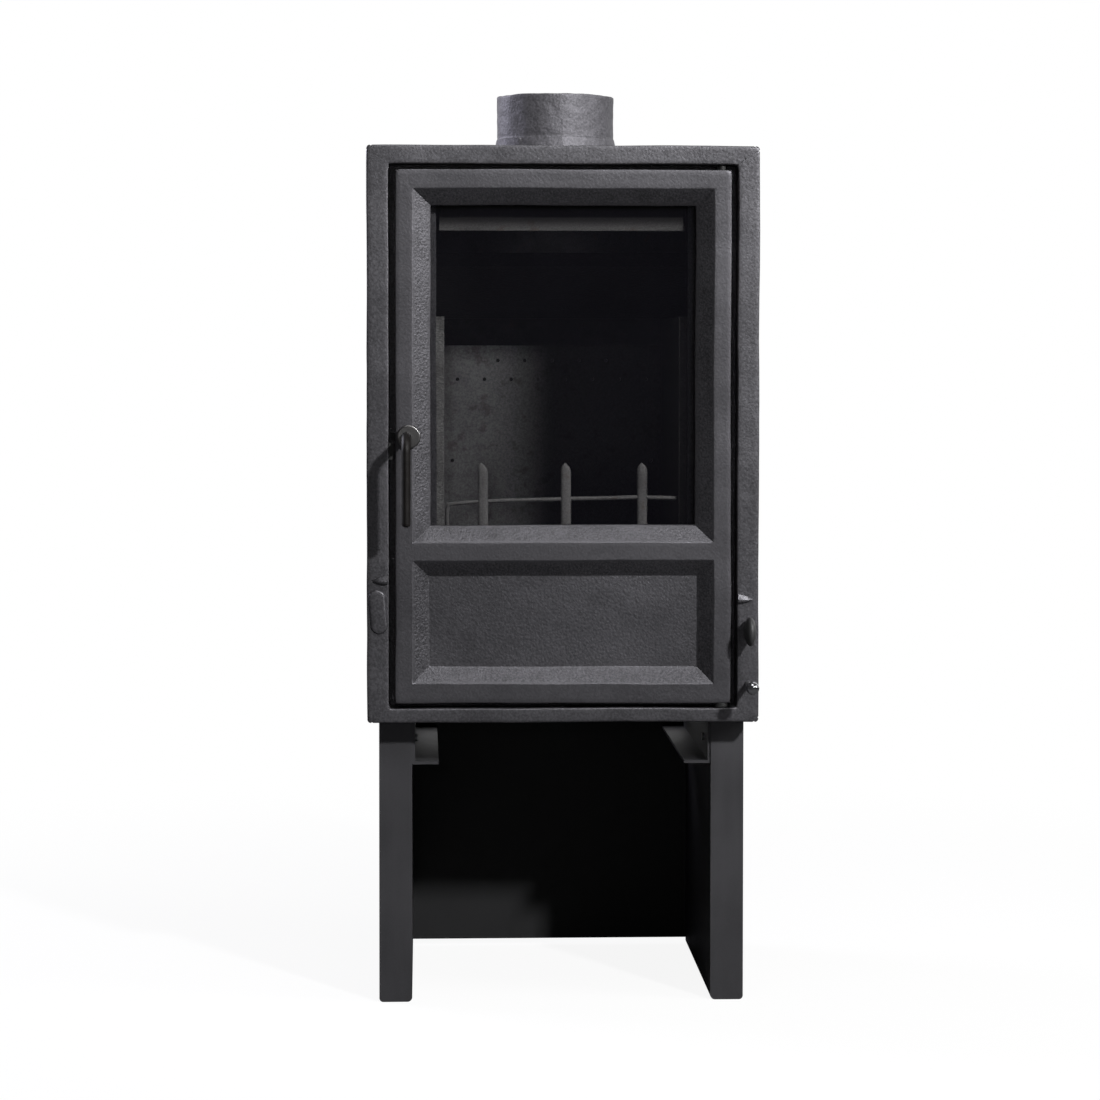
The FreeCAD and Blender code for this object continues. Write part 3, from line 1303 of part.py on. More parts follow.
def air_controls():
    """The primary air ball, the secondary air oval, and what they pull."""
    ball_depth = "-primary_knob_reach"
    primary_front = f"{ball_depth} + fixed_fit"
    guides = air_control("primary", "primary_slide_setback", PRIMARY_Z, primary_front)
    ball = doc.addObject("Part::Sphere", "knob_ball")
    bind(ball, {"Radius": "primary_knob_diameter / 2"})
    place(ball, RAIL_CENTRE, ball_depth, PRIMARY_Z)
    spot = (RAIL_CENTRE, PRIMARY_Z)
    neck_end = f"{ball_depth} + primary_knob_diameter / 2 + primary_neck_length"
    neck = bar("knob_neck", "y", spot, (ball_depth, neck_end), "primary_neck_diameter")
    socket = bore("knob_socket", "y", spot, (ball_depth, neck_end), "air_rod_diameter")
    node("primary_air_knob", cut("primary_air_knob", fused("knob_blank", [ball, neck]), [socket]))
    knob_depths = ("-secondary_knob_gap - secondary_knob_depth", "-secondary_knob_gap")
    secondary_front = "-secondary_knob_gap - secondary_knob_depth / 2"
    guides += air_control("secondary", SECONDARY_SLIDE_FRONT, SECONDARY_Z, secondary_front)
    node("air_slide_guides", grouped("air_slide_guides", guides))
    reach = "(secondary_knob_height - secondary_knob_width) / 2"
    levels = (f"{SECONDARY_Z} - {reach}", f"{SECONDARY_Z} + {reach}")
    ends = [
        bar(f"oval_end_{count}", "y", (RAIL_CENTRE, level), knob_depths, "secondary_knob_width")
        for count, level in enumerate(levels)
    ]
    middle = block("oval_middle", centred(RAIL_CENTRE, "secondary_knob_width"), knob_depths, levels)
    oval = fused("oval_blank", ends + [middle])
    front = measure(f"{FRONT} + {knob_depths[0]}")
    oval = rounded("oval_soft", oval, "secondary_knob_radius", lambda box: near(box.YMax, front))
    socket_depths = (secondary_front, "-secondary_knob_gap")
    socket = bore("oval_socket", "y", (RAIL_CENTRE, SECONDARY_Z), socket_depths, "air_rod_diameter")
    node("secondary_air_knob", cut("secondary_air_knob", oval, [socket]))


def collar_screw_places():
    """Four places on the screw circle of the collar, between the axes."""
    reach = "collar_screw_circle / 2 * sqrt(2) / 2"
    return [(f"{a}{reach}", f"flue_setback {b} {reach}") for a in ("-", "") for b in ("-", "+")]


def flue_collar():
    """The turned collar on the top plate, its gasket and its four screws from below."""
    body = doc.addObject("PartDesign::Body", "collar_turning")
    place(body, "0", "flue_setback", "0")
    profile = sketch_on(body, "XZ_Plane", "0")
    top = f"{COLLAR_FLOOR} + collar_height"
    step = f"{COLLAR_FLOOR} + collar_base_height"
    closed_outline(profile, [
        ("collar_bore / 2", COLLAR_FLOOR),
        ("collar_base_diameter / 2", COLLAR_FLOOR),
        ("collar_base_diameter / 2", f"{step} - (collar_base_diameter - collar_diameter) / 2"),
        ("collar_diameter / 2", step),
        ("collar_diameter / 2", top),
        ("collar_bore / 2", top),
    ])
    turning = body.newObject("PartDesign::Revolution", "collar_revolution")
    turning.Profile = profile
    turning.ReferenceAxis = (profile, ["V_Axis"])
    turning.Angle = 360
    doc.recompute()
    rim = measure(top)
    softened(body, "collar_rim_radius", lambda box: near(box.ZMin, rim) and box.XLength > TINY)
    holes = []
    screws = []
    gasket_holes = []
    gasket_heights = (BODY_TOP, COLLAR_FLOOR)
    screw_end = f"{INNER_TOP} + collar_screw_length"
    for count, spot in enumerate(collar_screw_places()):
        holes.append(bore(f"collar_hole_{count}", "z", spot, (COLLAR_FLOOR, screw_end), "screw_diameter"))
        gasket_holes.append(bore(f"gasket_hole_{count}", "z", spot, gasket_heights, "screw_diameter"))
        screws.append(screw(f"collar_screw_{count}", "z", spot, INNER_TOP, "collar_screw_length"))
    node("flue_collar", cut("flue_collar", body, holes))
    node("collar_screws", grouped("collar_screws", screws))
    centre = ("0", "flue_setback")
    ring = bar("gasket_blank", "z", centre, gasket_heights, "collar_base_diameter")
    hole = bar("gasket_hole", "z", centre, gasket_heights, "collar_bore")
    node("collar_gasket", cut("collar_gasket", ring, [hole] + gasket_holes))


def stand_bolt_places():
    """Two bolts down into the bearer of each side of the stand."""
    levels = ("stand_front_setback + stand_bolt_margin", f"{STAND_BACK} - stand_bolt_margin")
    return corners(LEG_CENTRE, levels)


def panel_screw_places():
    """Two screws through the stand's back panel into each side."""
    levels = ("stand_panel_floor_gap + panel_screw_margin", f"{STAND_PANEL_TOP} - panel_screw_margin")
    return corners(LEG_CENTRE, levels)


def stand_side(side):
    """A box-section side of the stand, open at the top, with its bottom corners rounded."""
    sign = 1 if side == "right" else -1
    span = sided((LEG_INSIDE, LEG_OUTSIDE), side)
    depths = ("stand_front_setback", STAND_BACK)
    blank = block(f"{side}_leg_blank", span, depths, ("0", "stand_height"))
    inner_x = sign * measure(LEG_INSIDE)
    outer_x = sign * measure(LEG_OUTSIDE)

    def bottom_edge(box, x):
        return box.YLength > TINY and near(box.ZMax, 0) and near(box.XMin, x) and near(box.XMax, x)

    soft = rounded(f"{side}_leg_inner", blank, "leg_inner_radius", lambda box: bottom_edge(box, inner_x))
    soft = rounded(f"{side}_leg_outer", soft, "leg_outer_radius", lambda box: bottom_edge(box, outer_x))
    hollow = block(
        f"{side}_leg_hollow",
        sided((f"{LEG_INSIDE} + stand_sheet", f"{LEG_OUTSIDE} - stand_sheet"), side),
        ("stand_front_setback + stand_sheet", f"{STAND_BACK} - stand_sheet"),
        ("leg_inner_radius", "stand_height"),
    )
    wall = sided((LEG_INSIDE, f"{LEG_INSIDE} + stand_sheet"), side)
    holes = [
        bore(f"{side}_leg_rail_hole_{count}", "x", spot, wall, "screw_diameter")
        for count, spot in enumerate(rail_screw_places())
    ]
    rear = (f"{STAND_BACK} - stand_sheet", STAND_BACK)
    for count, (x, height) in enumerate(panel_screw_places()):
        if x.startswith("-") == (side == "left"):
            holes.append(bore(f"{side}_leg_panel_hole_{count}", "y", (x, height), rear, "screw_diameter"))
    node(f"stand_{side}_side", cut(f"stand_{side}_side", soft, [hollow] + holes))


def rail_screw_places():
    """The depth and height of the two screws of a shelf rail."""
    height = f"({RAIL_FLOOR} + {RAIL_TOP}) / 2"
    front = "shelf_rail_setback + rail_screw_margin"
    back = f"{RAIL_BACK} - rail_screw_margin"
    return [(front, height), (back, height)]


def shelf_rail(side):
    """An angle rail along the inner face of one side of the stand."""
    inner = f"({LEG_INSIDE} - shelf_rail_width)"
    web = f"({LEG_INSIDE} - shelf_rail_thickness)"
    flange = f"({RAIL_FLOOR} + shelf_rail_thickness)"
    sign = "" if side == "right" else "-"
    corner_points = [
        (inner, RAIL_FLOOR),
        (LEG_INSIDE, RAIL_FLOOR),
        (LEG_INSIDE, RAIL_TOP),
        (web, RAIL_TOP),
        (web, flange),
        (inner, flange),
    ]
    outline = [(f"{sign}{x}", z) for x, z in corner_points]
    depths = ("shelf_rail_setback", RAIL_BACK)
    body = extruded(f"{side}_rail_angle", "y", depths, [outline])
    wall = sided((web, LEG_INSIDE), side)
    holes = []
    screws = []
    for count, spot in enumerate(rail_screw_places()):
        holes.append(bore(f"{side}_rail_hole_{count}", "x", spot, wall, "screw_diameter"))
        seat = f"{sign}{web}"
        screws.append(screw(f"{side}_rail_screw_{count}", "x", spot, seat, f"{sign}screw_length"))
    node(f"{side}_shelf_rail", cut(f"{side}_shelf_rail", body, holes))
    return screws


def stand():
    """The log stand: two sides, their bearers, the back panel, the shelf rails and the fasteners."""
    rail_screws = []
    bearers = []
    for side in SIDES:
        stand_side(side)
        rail_screws += shelf_rail(side)
        heights = (BEARER_FLOOR, "stand_height")
        blank = block(
            f"{side}_bearer_blank",
            sided((f"{LEG_INSIDE} + stand_sheet", f"{LEG_OUTSIDE} - stand_sheet"), side),
            ("stand_front_setback + stand_sheet", f"{STAND_BACK} - stand_sheet"),
            heights,
        )
        holes = [
            bore(f"{side}_bearer_hole_{count}", "z", spot, heights, "stand_bolt_diameter")
            for count, spot in enumerate(stand_bolt_places())
            if spot[0].startswith("-") == (side == "left")
        ]
        bearers.append(cut(f"{side}_bearer", blank, holes))
    node("stand_bearers", grouped("stand_bearers", bearers))
    node("rail_screws", grouped("rail_screws", rail_screws))
    bolts = []
    for count, spot in enumerate(stand_bolt_places()):
        head = (INNER_FLOOR, f"{INNER_FLOOR} + stand_bolt_head_height")
        shank = (f"{INNER_FLOOR} - stand_bolt_length", INNER_FLOOR)
        pieces = [
            hexagon(f"stand_bolt_head_{count}", "z", spot, head, "stand_bolt_head"),
            bar(f"stand_bolt_shank_{count}", "z", spot, shank, "stand_bolt_diameter"),
        ]
        bolts.append(fused(f"stand_bolt_{count}", pieces))
    node("stand_bolts", grouped("stand_bolts", bolts))
    depths = (STAND_BACK, f"{STAND_BACK} + stand_sheet")
    heights = ("stand_panel_floor_gap", STAND_PANEL_TOP)
    blank = block("stand_panel_blank", across(f"({LEG_OUTSIDE} - stand_panel_margin)"), depths, heights)
    holes = []
    screws = []
    for count, spot in enumerate(panel_screw_places()):
        holes.append(bore(f"stand_panel_hole_{count}", "y", spot, depths, "screw_diameter"))
        screws.append(screw(f"stand_panel_screw_{count}", "y", spot, depths[1], "-screw_length"))
    node("stand_back_panel", cut("stand_back_panel", blank, holes))
    node("stand_panel_screws", grouped("stand_panel_screws", screws))


def check_document():
    """Stop if any object failed, or any sub-part is missing, empty or not valid."""
    for thing in doc.Objects:
        if "Invalid" in thing.State or "Error" in thing.State:
            raise RuntimeError(f"{thing.Name} failed: {thing.State}")
    for thing in nodes:
        shape = thing.Shape
        if shape.isNull() or not shape.isValid() or not shape.Solids:
            raise RuntimeError(f"{thing.Label} has no valid solid")


def export_nodes():
    """Write each sub-part to its own file."""
    os.makedirs("parts", exist_ok=True)
    for thing in nodes:
        thing.Shape.exportStep(f"parts/{thing.Label}.step")
        print(f"{thing.Label}: {len(thing.Shape.Solids)} solids, {thing.Shape.Volume / 1000:.2f} cm3")


def build_stove():
    """Make every sub-part, check the document and write the files."""
    fill_sheet()
    front_frame()
    oval_blanking_cap()
    casing()
    tie_rods()
    firebox_shell()
    grate()
    linings_and_plates()
    log_fence()
    ash_pan()
    door_casting()
    glazing()
    door_rope_seal()
    hinge()
    handle()
    latch_keeper()
    air_controls()
    flue_collar()
    stand()
    doc.recompute()
    check_document()
    export_nodes()


build_stove()
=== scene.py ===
"""Looks of a cast-iron wood stove on a log stand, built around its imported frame.

Lengths are in metres. Depths are measured back from the front face of the door, along +Y.
"""

import json
import logging
import math
from dataclasses import astuple, dataclass, replace
from enum import Enum
from typing import Iterable, Sequence

import bmesh
import bpy
import numpy as np
from mathutils import Matrix, Vector

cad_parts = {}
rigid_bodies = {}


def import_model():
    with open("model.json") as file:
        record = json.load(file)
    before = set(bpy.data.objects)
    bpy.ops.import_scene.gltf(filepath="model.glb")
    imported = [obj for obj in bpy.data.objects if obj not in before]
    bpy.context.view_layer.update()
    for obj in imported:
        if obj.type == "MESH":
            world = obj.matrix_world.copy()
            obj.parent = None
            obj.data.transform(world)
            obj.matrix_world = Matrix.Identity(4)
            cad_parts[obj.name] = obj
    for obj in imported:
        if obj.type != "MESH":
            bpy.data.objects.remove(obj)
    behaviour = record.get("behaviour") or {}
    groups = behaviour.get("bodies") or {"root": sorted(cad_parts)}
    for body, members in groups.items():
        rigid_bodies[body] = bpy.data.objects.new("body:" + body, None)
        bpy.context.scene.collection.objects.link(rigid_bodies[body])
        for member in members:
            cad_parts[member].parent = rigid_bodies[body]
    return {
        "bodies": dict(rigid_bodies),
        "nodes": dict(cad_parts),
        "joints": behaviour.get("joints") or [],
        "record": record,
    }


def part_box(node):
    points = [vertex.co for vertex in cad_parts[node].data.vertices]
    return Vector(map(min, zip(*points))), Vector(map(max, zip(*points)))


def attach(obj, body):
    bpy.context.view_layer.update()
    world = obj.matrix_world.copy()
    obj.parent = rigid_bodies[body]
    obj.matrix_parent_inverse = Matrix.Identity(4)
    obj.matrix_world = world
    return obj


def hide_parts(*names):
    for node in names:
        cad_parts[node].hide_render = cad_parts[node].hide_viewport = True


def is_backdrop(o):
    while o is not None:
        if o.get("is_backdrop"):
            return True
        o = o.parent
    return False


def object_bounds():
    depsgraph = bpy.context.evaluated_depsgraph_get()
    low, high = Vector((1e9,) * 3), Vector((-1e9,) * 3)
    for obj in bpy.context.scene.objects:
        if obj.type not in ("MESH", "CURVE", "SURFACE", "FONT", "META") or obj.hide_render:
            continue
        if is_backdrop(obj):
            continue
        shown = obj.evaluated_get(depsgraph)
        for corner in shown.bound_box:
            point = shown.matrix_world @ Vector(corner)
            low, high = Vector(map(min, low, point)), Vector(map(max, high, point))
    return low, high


LOG = logging.getLogger("stove")
MM = 0.001
WELD = 2e-6
NEAR = 1e-7
ROUNDING = 1e-6
SHARP_ANGLE = math.radians(34)
Colour = tuple[float, float, float]
Point = tuple[float, float, float]
Value = "Shade | float"


class Body(Enum):
    """The moving bodies of the stove."""

    STOVE = "stove"
    DOOR = "door"
    HANDLE = "handle"
    PRIMARY = "primary_air"
    SECONDARY = "secondary_air"
    FENCE = "fence"


class Axis(Enum):
    """The directions across, back and up."""

    X = 0
    Y = 1
    Z = 2


# Shader recipes


class Shade:
    """An output socket of a recipe, usable in sums and products of values."""

    def __init__(self, recipe: "Recipe", socket: bpy.types.NodeSocket | None) -> None:
        """Keep the recipe that the socket belongs to."""
        self.recipe = recipe
        self.socket = socket

    def _math(self, operation: str, first: Value, second: Value) -> "Shade":
        """Add a Math node for one operation on two values."""
        return self.recipe.node("ShaderNodeMath", {"operation": operation}, {0: first, 1: second})

    def __add__(self, other: Value) -> "Shade":
        """The sum of two values."""
        return self._math("ADD", self, other)

    def __radd__(self, other: Value) -> "Shade":
        """The sum, with the number first."""
        return self._math("ADD", other, self)

    def __sub__(self, other: Value) -> "Shade":
        """The difference of two values."""
        return self._math("SUBTRACT", self, other)

    def __rsub__(self, other: Value) -> "Shade":
        """The difference, with the number first."""
        return self._math("SUBTRACT", other, self)

    def __mul__(self, other: Value) -> "Shade":
        """The product of two values."""
        return self._math("MULTIPLY", self, other)

    def __rmul__(self, other: Value) -> "Shade":
        """The product, with the number first."""
        return self._math("MULTIPLY", other, self)

    def above(self, low: float, high: float) -> "Shade":
        """A smooth step from 0 at low to 1 at high."""
        settings = {"interpolation_type": "SMOOTHSTEP"}
        return self.recipe.node("ShaderNodeMapRange", settings, {0: self, 1: low, 2: high, 3: 0.0, 4: 1.0})

    def larger(self, other: Value) -> "Shade":
        """The larger of two values."""
        return self._math("MAXIMUM", self, other)


class Recipe:
    """The node tree of one material or of the world."""

    def __init__(self, tree: bpy.types.NodeTree) -> None:
        """Start from an empty tree."""
        self.tree = tree
        self.tree.nodes.clear()

    def node(
        self,
        kind: str,
        settings: dict[str, object] | None = None,
        sockets: dict[int | str, object] | None = None,
        output: int | str = 0,
    ) -> Shade:
        """Add a node.

        Args:
            kind: The node's type.
            settings: Attributes that are set first.
            sockets: Values or links of its inputs.
            output: The output to return.

        Returns:
            The output as a Shade.
        """
        made = self.tree.nodes.new(kind)
        for name, value in (settings or {}).items():
            setattr(made, name, value)
        for key, value in (sockets or {}).items():
            if isinstance(value, Shade):
                self.tree.links.new(value.socket, made.inputs[key])
            else:
                made.inputs[key].default_value = value
        return Shade(self, made.outputs[output] if made.outputs else None)

    def place(self) -> Shade:
        """The Object coordinates of the surface."""
        return self.node("ShaderNodeTexCoord", output="Object")

    def part(self, place: Shade, axis: Axis) -> Shade:
        """One coordinate of a place."""
        return self.node("ShaderNodeSeparateXYZ", sockets={0: place}, output=axis.value)

    def stretched(self, place: Shade, scale: Sequence[float]) -> Shade:
        """A place scaled along each axis, so that a pattern runs longer one way."""
        return self.node("ShaderNodeMapping", sockets={"Vector": place, "Scale": tuple(scale)})

    def noise(self, place: Shade, size: float, detail: float = 2.0, rough: float = 0.5) -> Shade:
        """Cloudy noise from 0 to 1.

        Args:
            place: The coordinates.
            size: The width of one cloud.
            detail: Octaves of finer clouds.
            rough: The share that each finer octave keeps.

        Returns:
            The noise value.
        """
        sockets = {"Vector": place, "Scale": 1.0 / size, "Detail": detail, "Roughness": rough}
        return self.node("ShaderNodeTexNoise", None, sockets)

    def pits(self, place: Shade, size: float, smooth: float = 0.6) -> Shade:
        """Distance to the nearest grain, for rounded grains of one size.

        Args:
            place: The coordinates.
            size: The width of one grain.
            smooth: How far neighbouring grains melt together.

        Returns:
            The distance.
        """
        settings = {"feature": "SMOOTH_F1"}
        sockets = {"Vector": place, "Scale": 1.0 / size, "Smoothness": smooth}
        return self.node("ShaderNodeTexVoronoi", settings, sockets)

    def blend(self, share: Value, first: Colour | Shade, second: Colour | Shade) -> Shade:
        """A mix of two colours by a share from 0 to 1."""
        pair = [c if isinstance(c, Shade) else (*c, 1.0) for c in (first, second)]
        return self.node("ShaderNodeMix", {"data_type": "RGBA"}, {0: share, 6: pair[0], 7: pair[1]}, 2)

    def bump(self, height: Shade, depth: float) -> Shade:
        """A bumped normal from a height of 0 to 1 that stands for a real depth."""
        return self.node("ShaderNodeBump", None, {"Height": height, "Distance": depth, "Strength": 1.0})

    def surface(self, shader: Shade) -> None:
        """Connect a shader to the output."""
        self.node("ShaderNodeOutputMaterial", None, {"Surface": shader})


@dataclass(frozen=True)
class Finish:
    """A finish: the record's slot, its mean colour, its shine and its grain."""

    slot: str
    colour: Colour
    roughness: float
    metallic: float = 0.0
    specular: float = 0.5
    grain: float = 3 * MM
    grain_depth: float = 0.2 * MM

    def tinted(self, amount: float) -> Colour:
        """The mean colour made lighter or darker by a factor."""
        red, green, blue = self.colour
        return red * amount, green * amount, blue * amount

    def varied(self, recipe: Recipe, share: Shade, first: float, second: float) -> Shade:
        """The mean colour, from one factor to another by a share from 0 to 1."""
        return recipe.blend(share, self.tinted(first), self.tinted(second))

    def material(self) -> bpy.types.Material:
        """Build the material.

        Returns:
            A new material with a Principled shader.
        """
        made = bpy.data.materials.new(self.slot)
        made.use_nodes = True
        recipe = Recipe(made.node_tree)
        sockets: dict[int | str, object] = {
            "Roughness": self.roughness,
            "Metallic": self.metallic,
            "Specular IOR Level": self.specular,
        }
        sockets.update(self.sockets(recipe))
        recipe.surface(recipe.node("ShaderNodeBsdfPrincipled", None, sockets))
        return made

    def sockets(self, recipe: Recipe) -> dict[int | str, object]:
        """The inputs that vary over the surface."""
        return {"Base Color": (*self.colour, 1.0)}


@dataclass(frozen=True)
class CastPaint(Finish):
    """Satin paint over a sand casting: fine rounded grains, slow cloudiness and rubbed high spots."""

    lump: float = 15 * MM
    lumpiness: float = 0.3
    mottle: float = 0.26
    ground: tuple[float, float] | None = None
    hollow: tuple[float, float] | None = None
    ground_share: float = 0.3
    hollow_loss: float = 0.45

    def sockets(self, recipe: Recipe) -> dict[int | str, object]:
        """Grain and lumps in the bump, fainter on ground and hollow parts, and again in colour and shine.

        Args:
            recipe: The material's recipe.

        Returns:
            The shader's inputs by name.
        """
        place = recipe.place()
        fine = recipe.noise(place, self.grain, 3.0, 0.55)
        grains = recipe.pits(place, self.grain * 1.3)
        lumps = recipe.noise(place, self.lump, 2.0)
        clouds = recipe.noise(place, self.lump * 6, 3.0)
        height = 0.55 * fine + 0.35 * (1.0 - grains) + self.lumpiness * lumps - 0.6
        share = (0.25 * clouds + 0.6 * fine + 0.15 * lumps).above(0.33, 0.67) - 0.5
        if self.ground and self.hollow:
            depth = recipe.part(place, Axis.Y)
            rough = self.ground_share + (1 - self.ground_share) * depth.above(*self.ground)
            rough = rough - self.hollow_loss * depth.above(*self.hollow)
            height, share = height * rough, share * rough
        colour = self.varied(recipe, share + 0.5, 1 - self.mottle, 1 + self.mottle)
        shine = self.roughness + 0.10 * (clouds - 0.5) + 0.10 * (fine - 0.5)
        return {"Base Color": colour, "Roughness": shine, "Normal": recipe.bump(height, self.grain_depth)}


@dataclass(frozen=True)
class SheetPaint(Finish):
    """Satin paint on rolled sheet: a fine spray texture and faint handling marks."""

    cloud: float = 90 * MM
    rub: float = 12 * MM

    def sockets(self, recipe: Recipe) -> dict[int | str, object]:
        """Spray grain in the bump, slow clouds and long faint rubs in colour and shine.

        Args:
            recipe: The material's recipe.

        Returns:
            The shader's inputs by name.
        """
        place = recipe.place()
        spray = recipe.noise(place, self.grain, 2.0, 0.6)
        clouds = recipe.noise(place, self.cloud, 3.0)
        rubs = recipe.noise(recipe.stretched(place, (1.0, 1.0, 0.12)), self.rub, 3.0)
        share = 0.55 * clouds + 0.25 * spray + 0.2 * rubs
        colour = self.varied(recipe, share.above(0.3, 0.7), 0.86, 1.14)
        shine = self.roughness + 0.10 * (clouds - 0.5) + 0.08 * (rubs - 0.5)
        height = 0.8 * spray + 0.6 * clouds
        return {"Base Color": colour, "Roughness": shine, "Normal": recipe.bump(height, self.grain_depth)}


@dataclass(frozen=True)
class HeatedIron(Finish):
    """Bare iron or steel that fire has greyed: scale, soot and a little rust, with painted shade along an
    optional fade.
    """

    rust: Colour = (0.09, 0.05, 0.032)
    # The dark colour of the soot clouds, also used for the painted shade along the fade.
    soot_and_shade: Colour = (0.012, 0.011, 0.011)
    sooting: float = 0.75
    # Painted shade: an axis and the two places between which the colour darkens to the dark colour.
    painted_shade_fade: tuple[Axis, float, float] | None = None
    cloud: float = 45 * MM
    spot: float = 13 * MM

    def sockets(self, recipe: Recipe) -> dict[int | str, object]:
        """Scale grains in the bump, rust in a few spots, soot in low clouds, and painted shade along the
        fade.

        Args:
            recipe: The material's recipe.

        Returns:
            The shader's inputs by name.
        """
        place = recipe.place()
        scale = recipe.noise(place, self.grain, 4.0, 0.6)
        clouds = recipe.noise(place, self.cloud, 4.0, 0.6)
        spots = recipe.noise(place, self.spot, 3.0).above(0.58, 0.72)
        grey = self.varied(recipe, scale.above(0.25, 0.75), 0.75, 1.25)
        rusty = recipe.blend(0.35 * spots, grey, self.rust)
        soot_and_shade_share = self.sooting * (1.0 - clouds.above(0.32, 0.6))
        # Painted shade: darken towards the fade's far end, standing in for shade that the lamps leave there.
        if self.painted_shade_fade:
            axis, shade_start, shade_end = self.painted_shade_fade
            soot_and_shade_share = soot_and_shade_share.larger(0.9 * recipe.part(place, axis).above(shade_start, shade_end))
        colour = recipe.blend(soot_and_shade_share, rusty, self.soot_and_shade)
        shine = self.roughness + 0.12 * (clouds - 0.5)
        return {"Base Color": colour, "Roughness": shine, "Normal": recipe.bump(scale, self.grain_depth)}


@dataclass(frozen=True)
class FireBoard(Finish):
    """Pressed fire board: flat mineral flakes, darkened by soot in clouds."""

    soot_and_shade: Colour = (0.035, 0.033, 0.031)
    dust: float = 1.2 * MM
    cloud: float = 70 * MM

    def sockets(self, recipe: Recipe) -> dict[int | str, object]:
        """Flakes in colour and bump, with soot over them.

        Args:
            recipe: The material's recipe.

        Returns:
            The shader's inputs by name.
        """
        place = recipe.place()
        flakes = recipe.pits(recipe.stretched(place, (1.0, 1.0, 1.7)), self.grain, 0.2)
        dust = recipe.noise(place, self.dust, 2.0)
        clouds = recipe.noise(place, self.cloud, 4.0, 0.6)
        board = self.varied(recipe, (flakes + 0.4 * dust).above(0.2, 0.9), 1.2, 0.75)
        colour = recipe.blend(0.7 * (1.0 - clouds.above(0.35, 0.65)), board, self.soot_and_shade)
        height = (1.0 - flakes) + 0.4 * dust
        return {"Base Color": colour, "Normal": recipe.bump(height, self.grain_depth)}


@dataclass(frozen=True)
class WindowGlass(Finish):
    """Clear heat-proof glass with a faint smoky film."""

    clearness: float = 0.75
    cloud: float = 120 * MM
    streak: float = 20 * MM

    def material(self) -> bpy.types.Material:
        """The base material with blended transparency.

        Returns:
            The material.
        """
        made = super().material()
        made.surface_render_method = "BLENDED"
        return made

    def sockets(self, recipe: Recipe) -> dict[int | str, object]:
        """A film that thickens a little in clouds and along wiped streaks.

        Args:
            recipe: The material's recipe.

        Returns:
            The shader's inputs by name.
        """
        place = recipe.place()
        clouds = recipe.noise(place, self.cloud, 3.0)
        wiped = recipe.noise(recipe.stretched(place, (1.0, 1.0, 0.15)), self.streak, 2.0)
        film = 0.05 * (clouds - 0.5) + 0.03 * (wiped - 0.5)
        colour = self.varied(recipe, clouds, 0.7, 1.3)
        shine = self.roughness + 0.05 * wiped
        return {"Base Color": colour, "Roughness": shine, "Alpha": (1.0 - self.clearness) + film}


@dataclass(frozen=True)
class WovenFibre(Finish):
    """Knitted glass fibre: small crossing stitches with loose dusty fibres."""

    fibre: float = 0.5 * MM
    cloud: float = 30 * MM

    def sockets(self, recipe: Recipe) -> dict[int | str, object]:
        """Stitches as grains in bump and colour, with soot clouds.

        Args:
            recipe: The material's recipe.

        Returns:
            The shader's inputs by name.
        """
        place = recipe.place()
        stitches = recipe.pits(place, self.grain, 0.4)
        fibres = recipe.noise(place, self.fibre, 2.0)
        clouds = recipe.noise(place, self.cloud, 3.0)
        share = (1.0 - stitches) * 0.6 + 0.25 * fibres + 0.25 * clouds
        colour = self.varied(recipe, share.above(0.3, 0.9), 0.45, 1.3)
        height = (1.0 - stitches) + 0.5 * fibres
        return {"Base Color": colour, "Normal": recipe.bump(height, self.grain_depth)}


@dataclass(frozen=True)
class WorkedMetal(Finish):
    """Turned, plated or oiled metal: fine tool lines, finger dulling and small spots."""

    lines: tuple[float, float, float] = (1.0, 12.0, 1.0)
    dulling: float = 0.12
    spread: float = 0.12
    cloud: float = 9 * MM
    spot: float = 1.5 * MM

    def sockets(self, recipe: Recipe) -> dict[int | str, object]:
        """Tool lines in bump and shine, and clouds of dulling in colour and shine.

        Args:
            recipe: The material's recipe.

        Returns:
            The shader's inputs by name.
        """
        place = recipe.place()
        lines = recipe.noise(recipe.stretched(place, self.lines), self.grain, 2.0)
        clouds = recipe.noise(place, self.cloud, 3.0)
        spots = recipe.noise(place, self.spot, 2.0).above(0.62, 0.75)
        share = 0.7 * clouds + 0.3 * lines
        colour = self.varied(recipe, share.above(0.3, 0.7), 1 - self.spread, 1 + self.spread)
        shine = self.roughness + self.dulling * (clouds - 0.45) + 0.5 * self.dulling * spots
        return {"Base Color": colour, "Roughness": shine, "Normal": recipe.bump(lines, self.grain_depth)}


CASTING_PAINT = CastPaint(
    "casting_paint", (0.092, 0.090, 0.098), 0.45, metallic=0.8, grain=2.1 * MM, grain_depth=0.26 * MM
)
DOOR_PAINT = replace(
    CASTING_PAINT,
    colour=(0.086, 0.084, 0.092),
    grain_depth=0.7 * MM,
    mottle=0.36,
    ground=(-148 * MM, -146 * MM),
    hollow=(-136.6 * MM, -135.9 * MM),
)
COLLAR_PAINT = CastPaint(
    "collar_paint",
    (0.104, 0.101, 0.112),
    0.58,
    metallic=0.6,
    grain=2.6 * MM,
    grain_depth=0.6 * MM,
    lump=10 * MM,
    mottle=0.3,
)
SHEET_PAINT = SheetPaint(
    "sheet_paint", (0.078, 0.077, 0.083), 0.50, metallic=0.8, grain=1.1 * MM, grain_depth=0.05 * MM
)
TOP_PAINT = replace(SHEET_PAINT, colour=(0.05, 0.049, 0.053), roughness=0.72, metallic=0.3, specular=0.3)
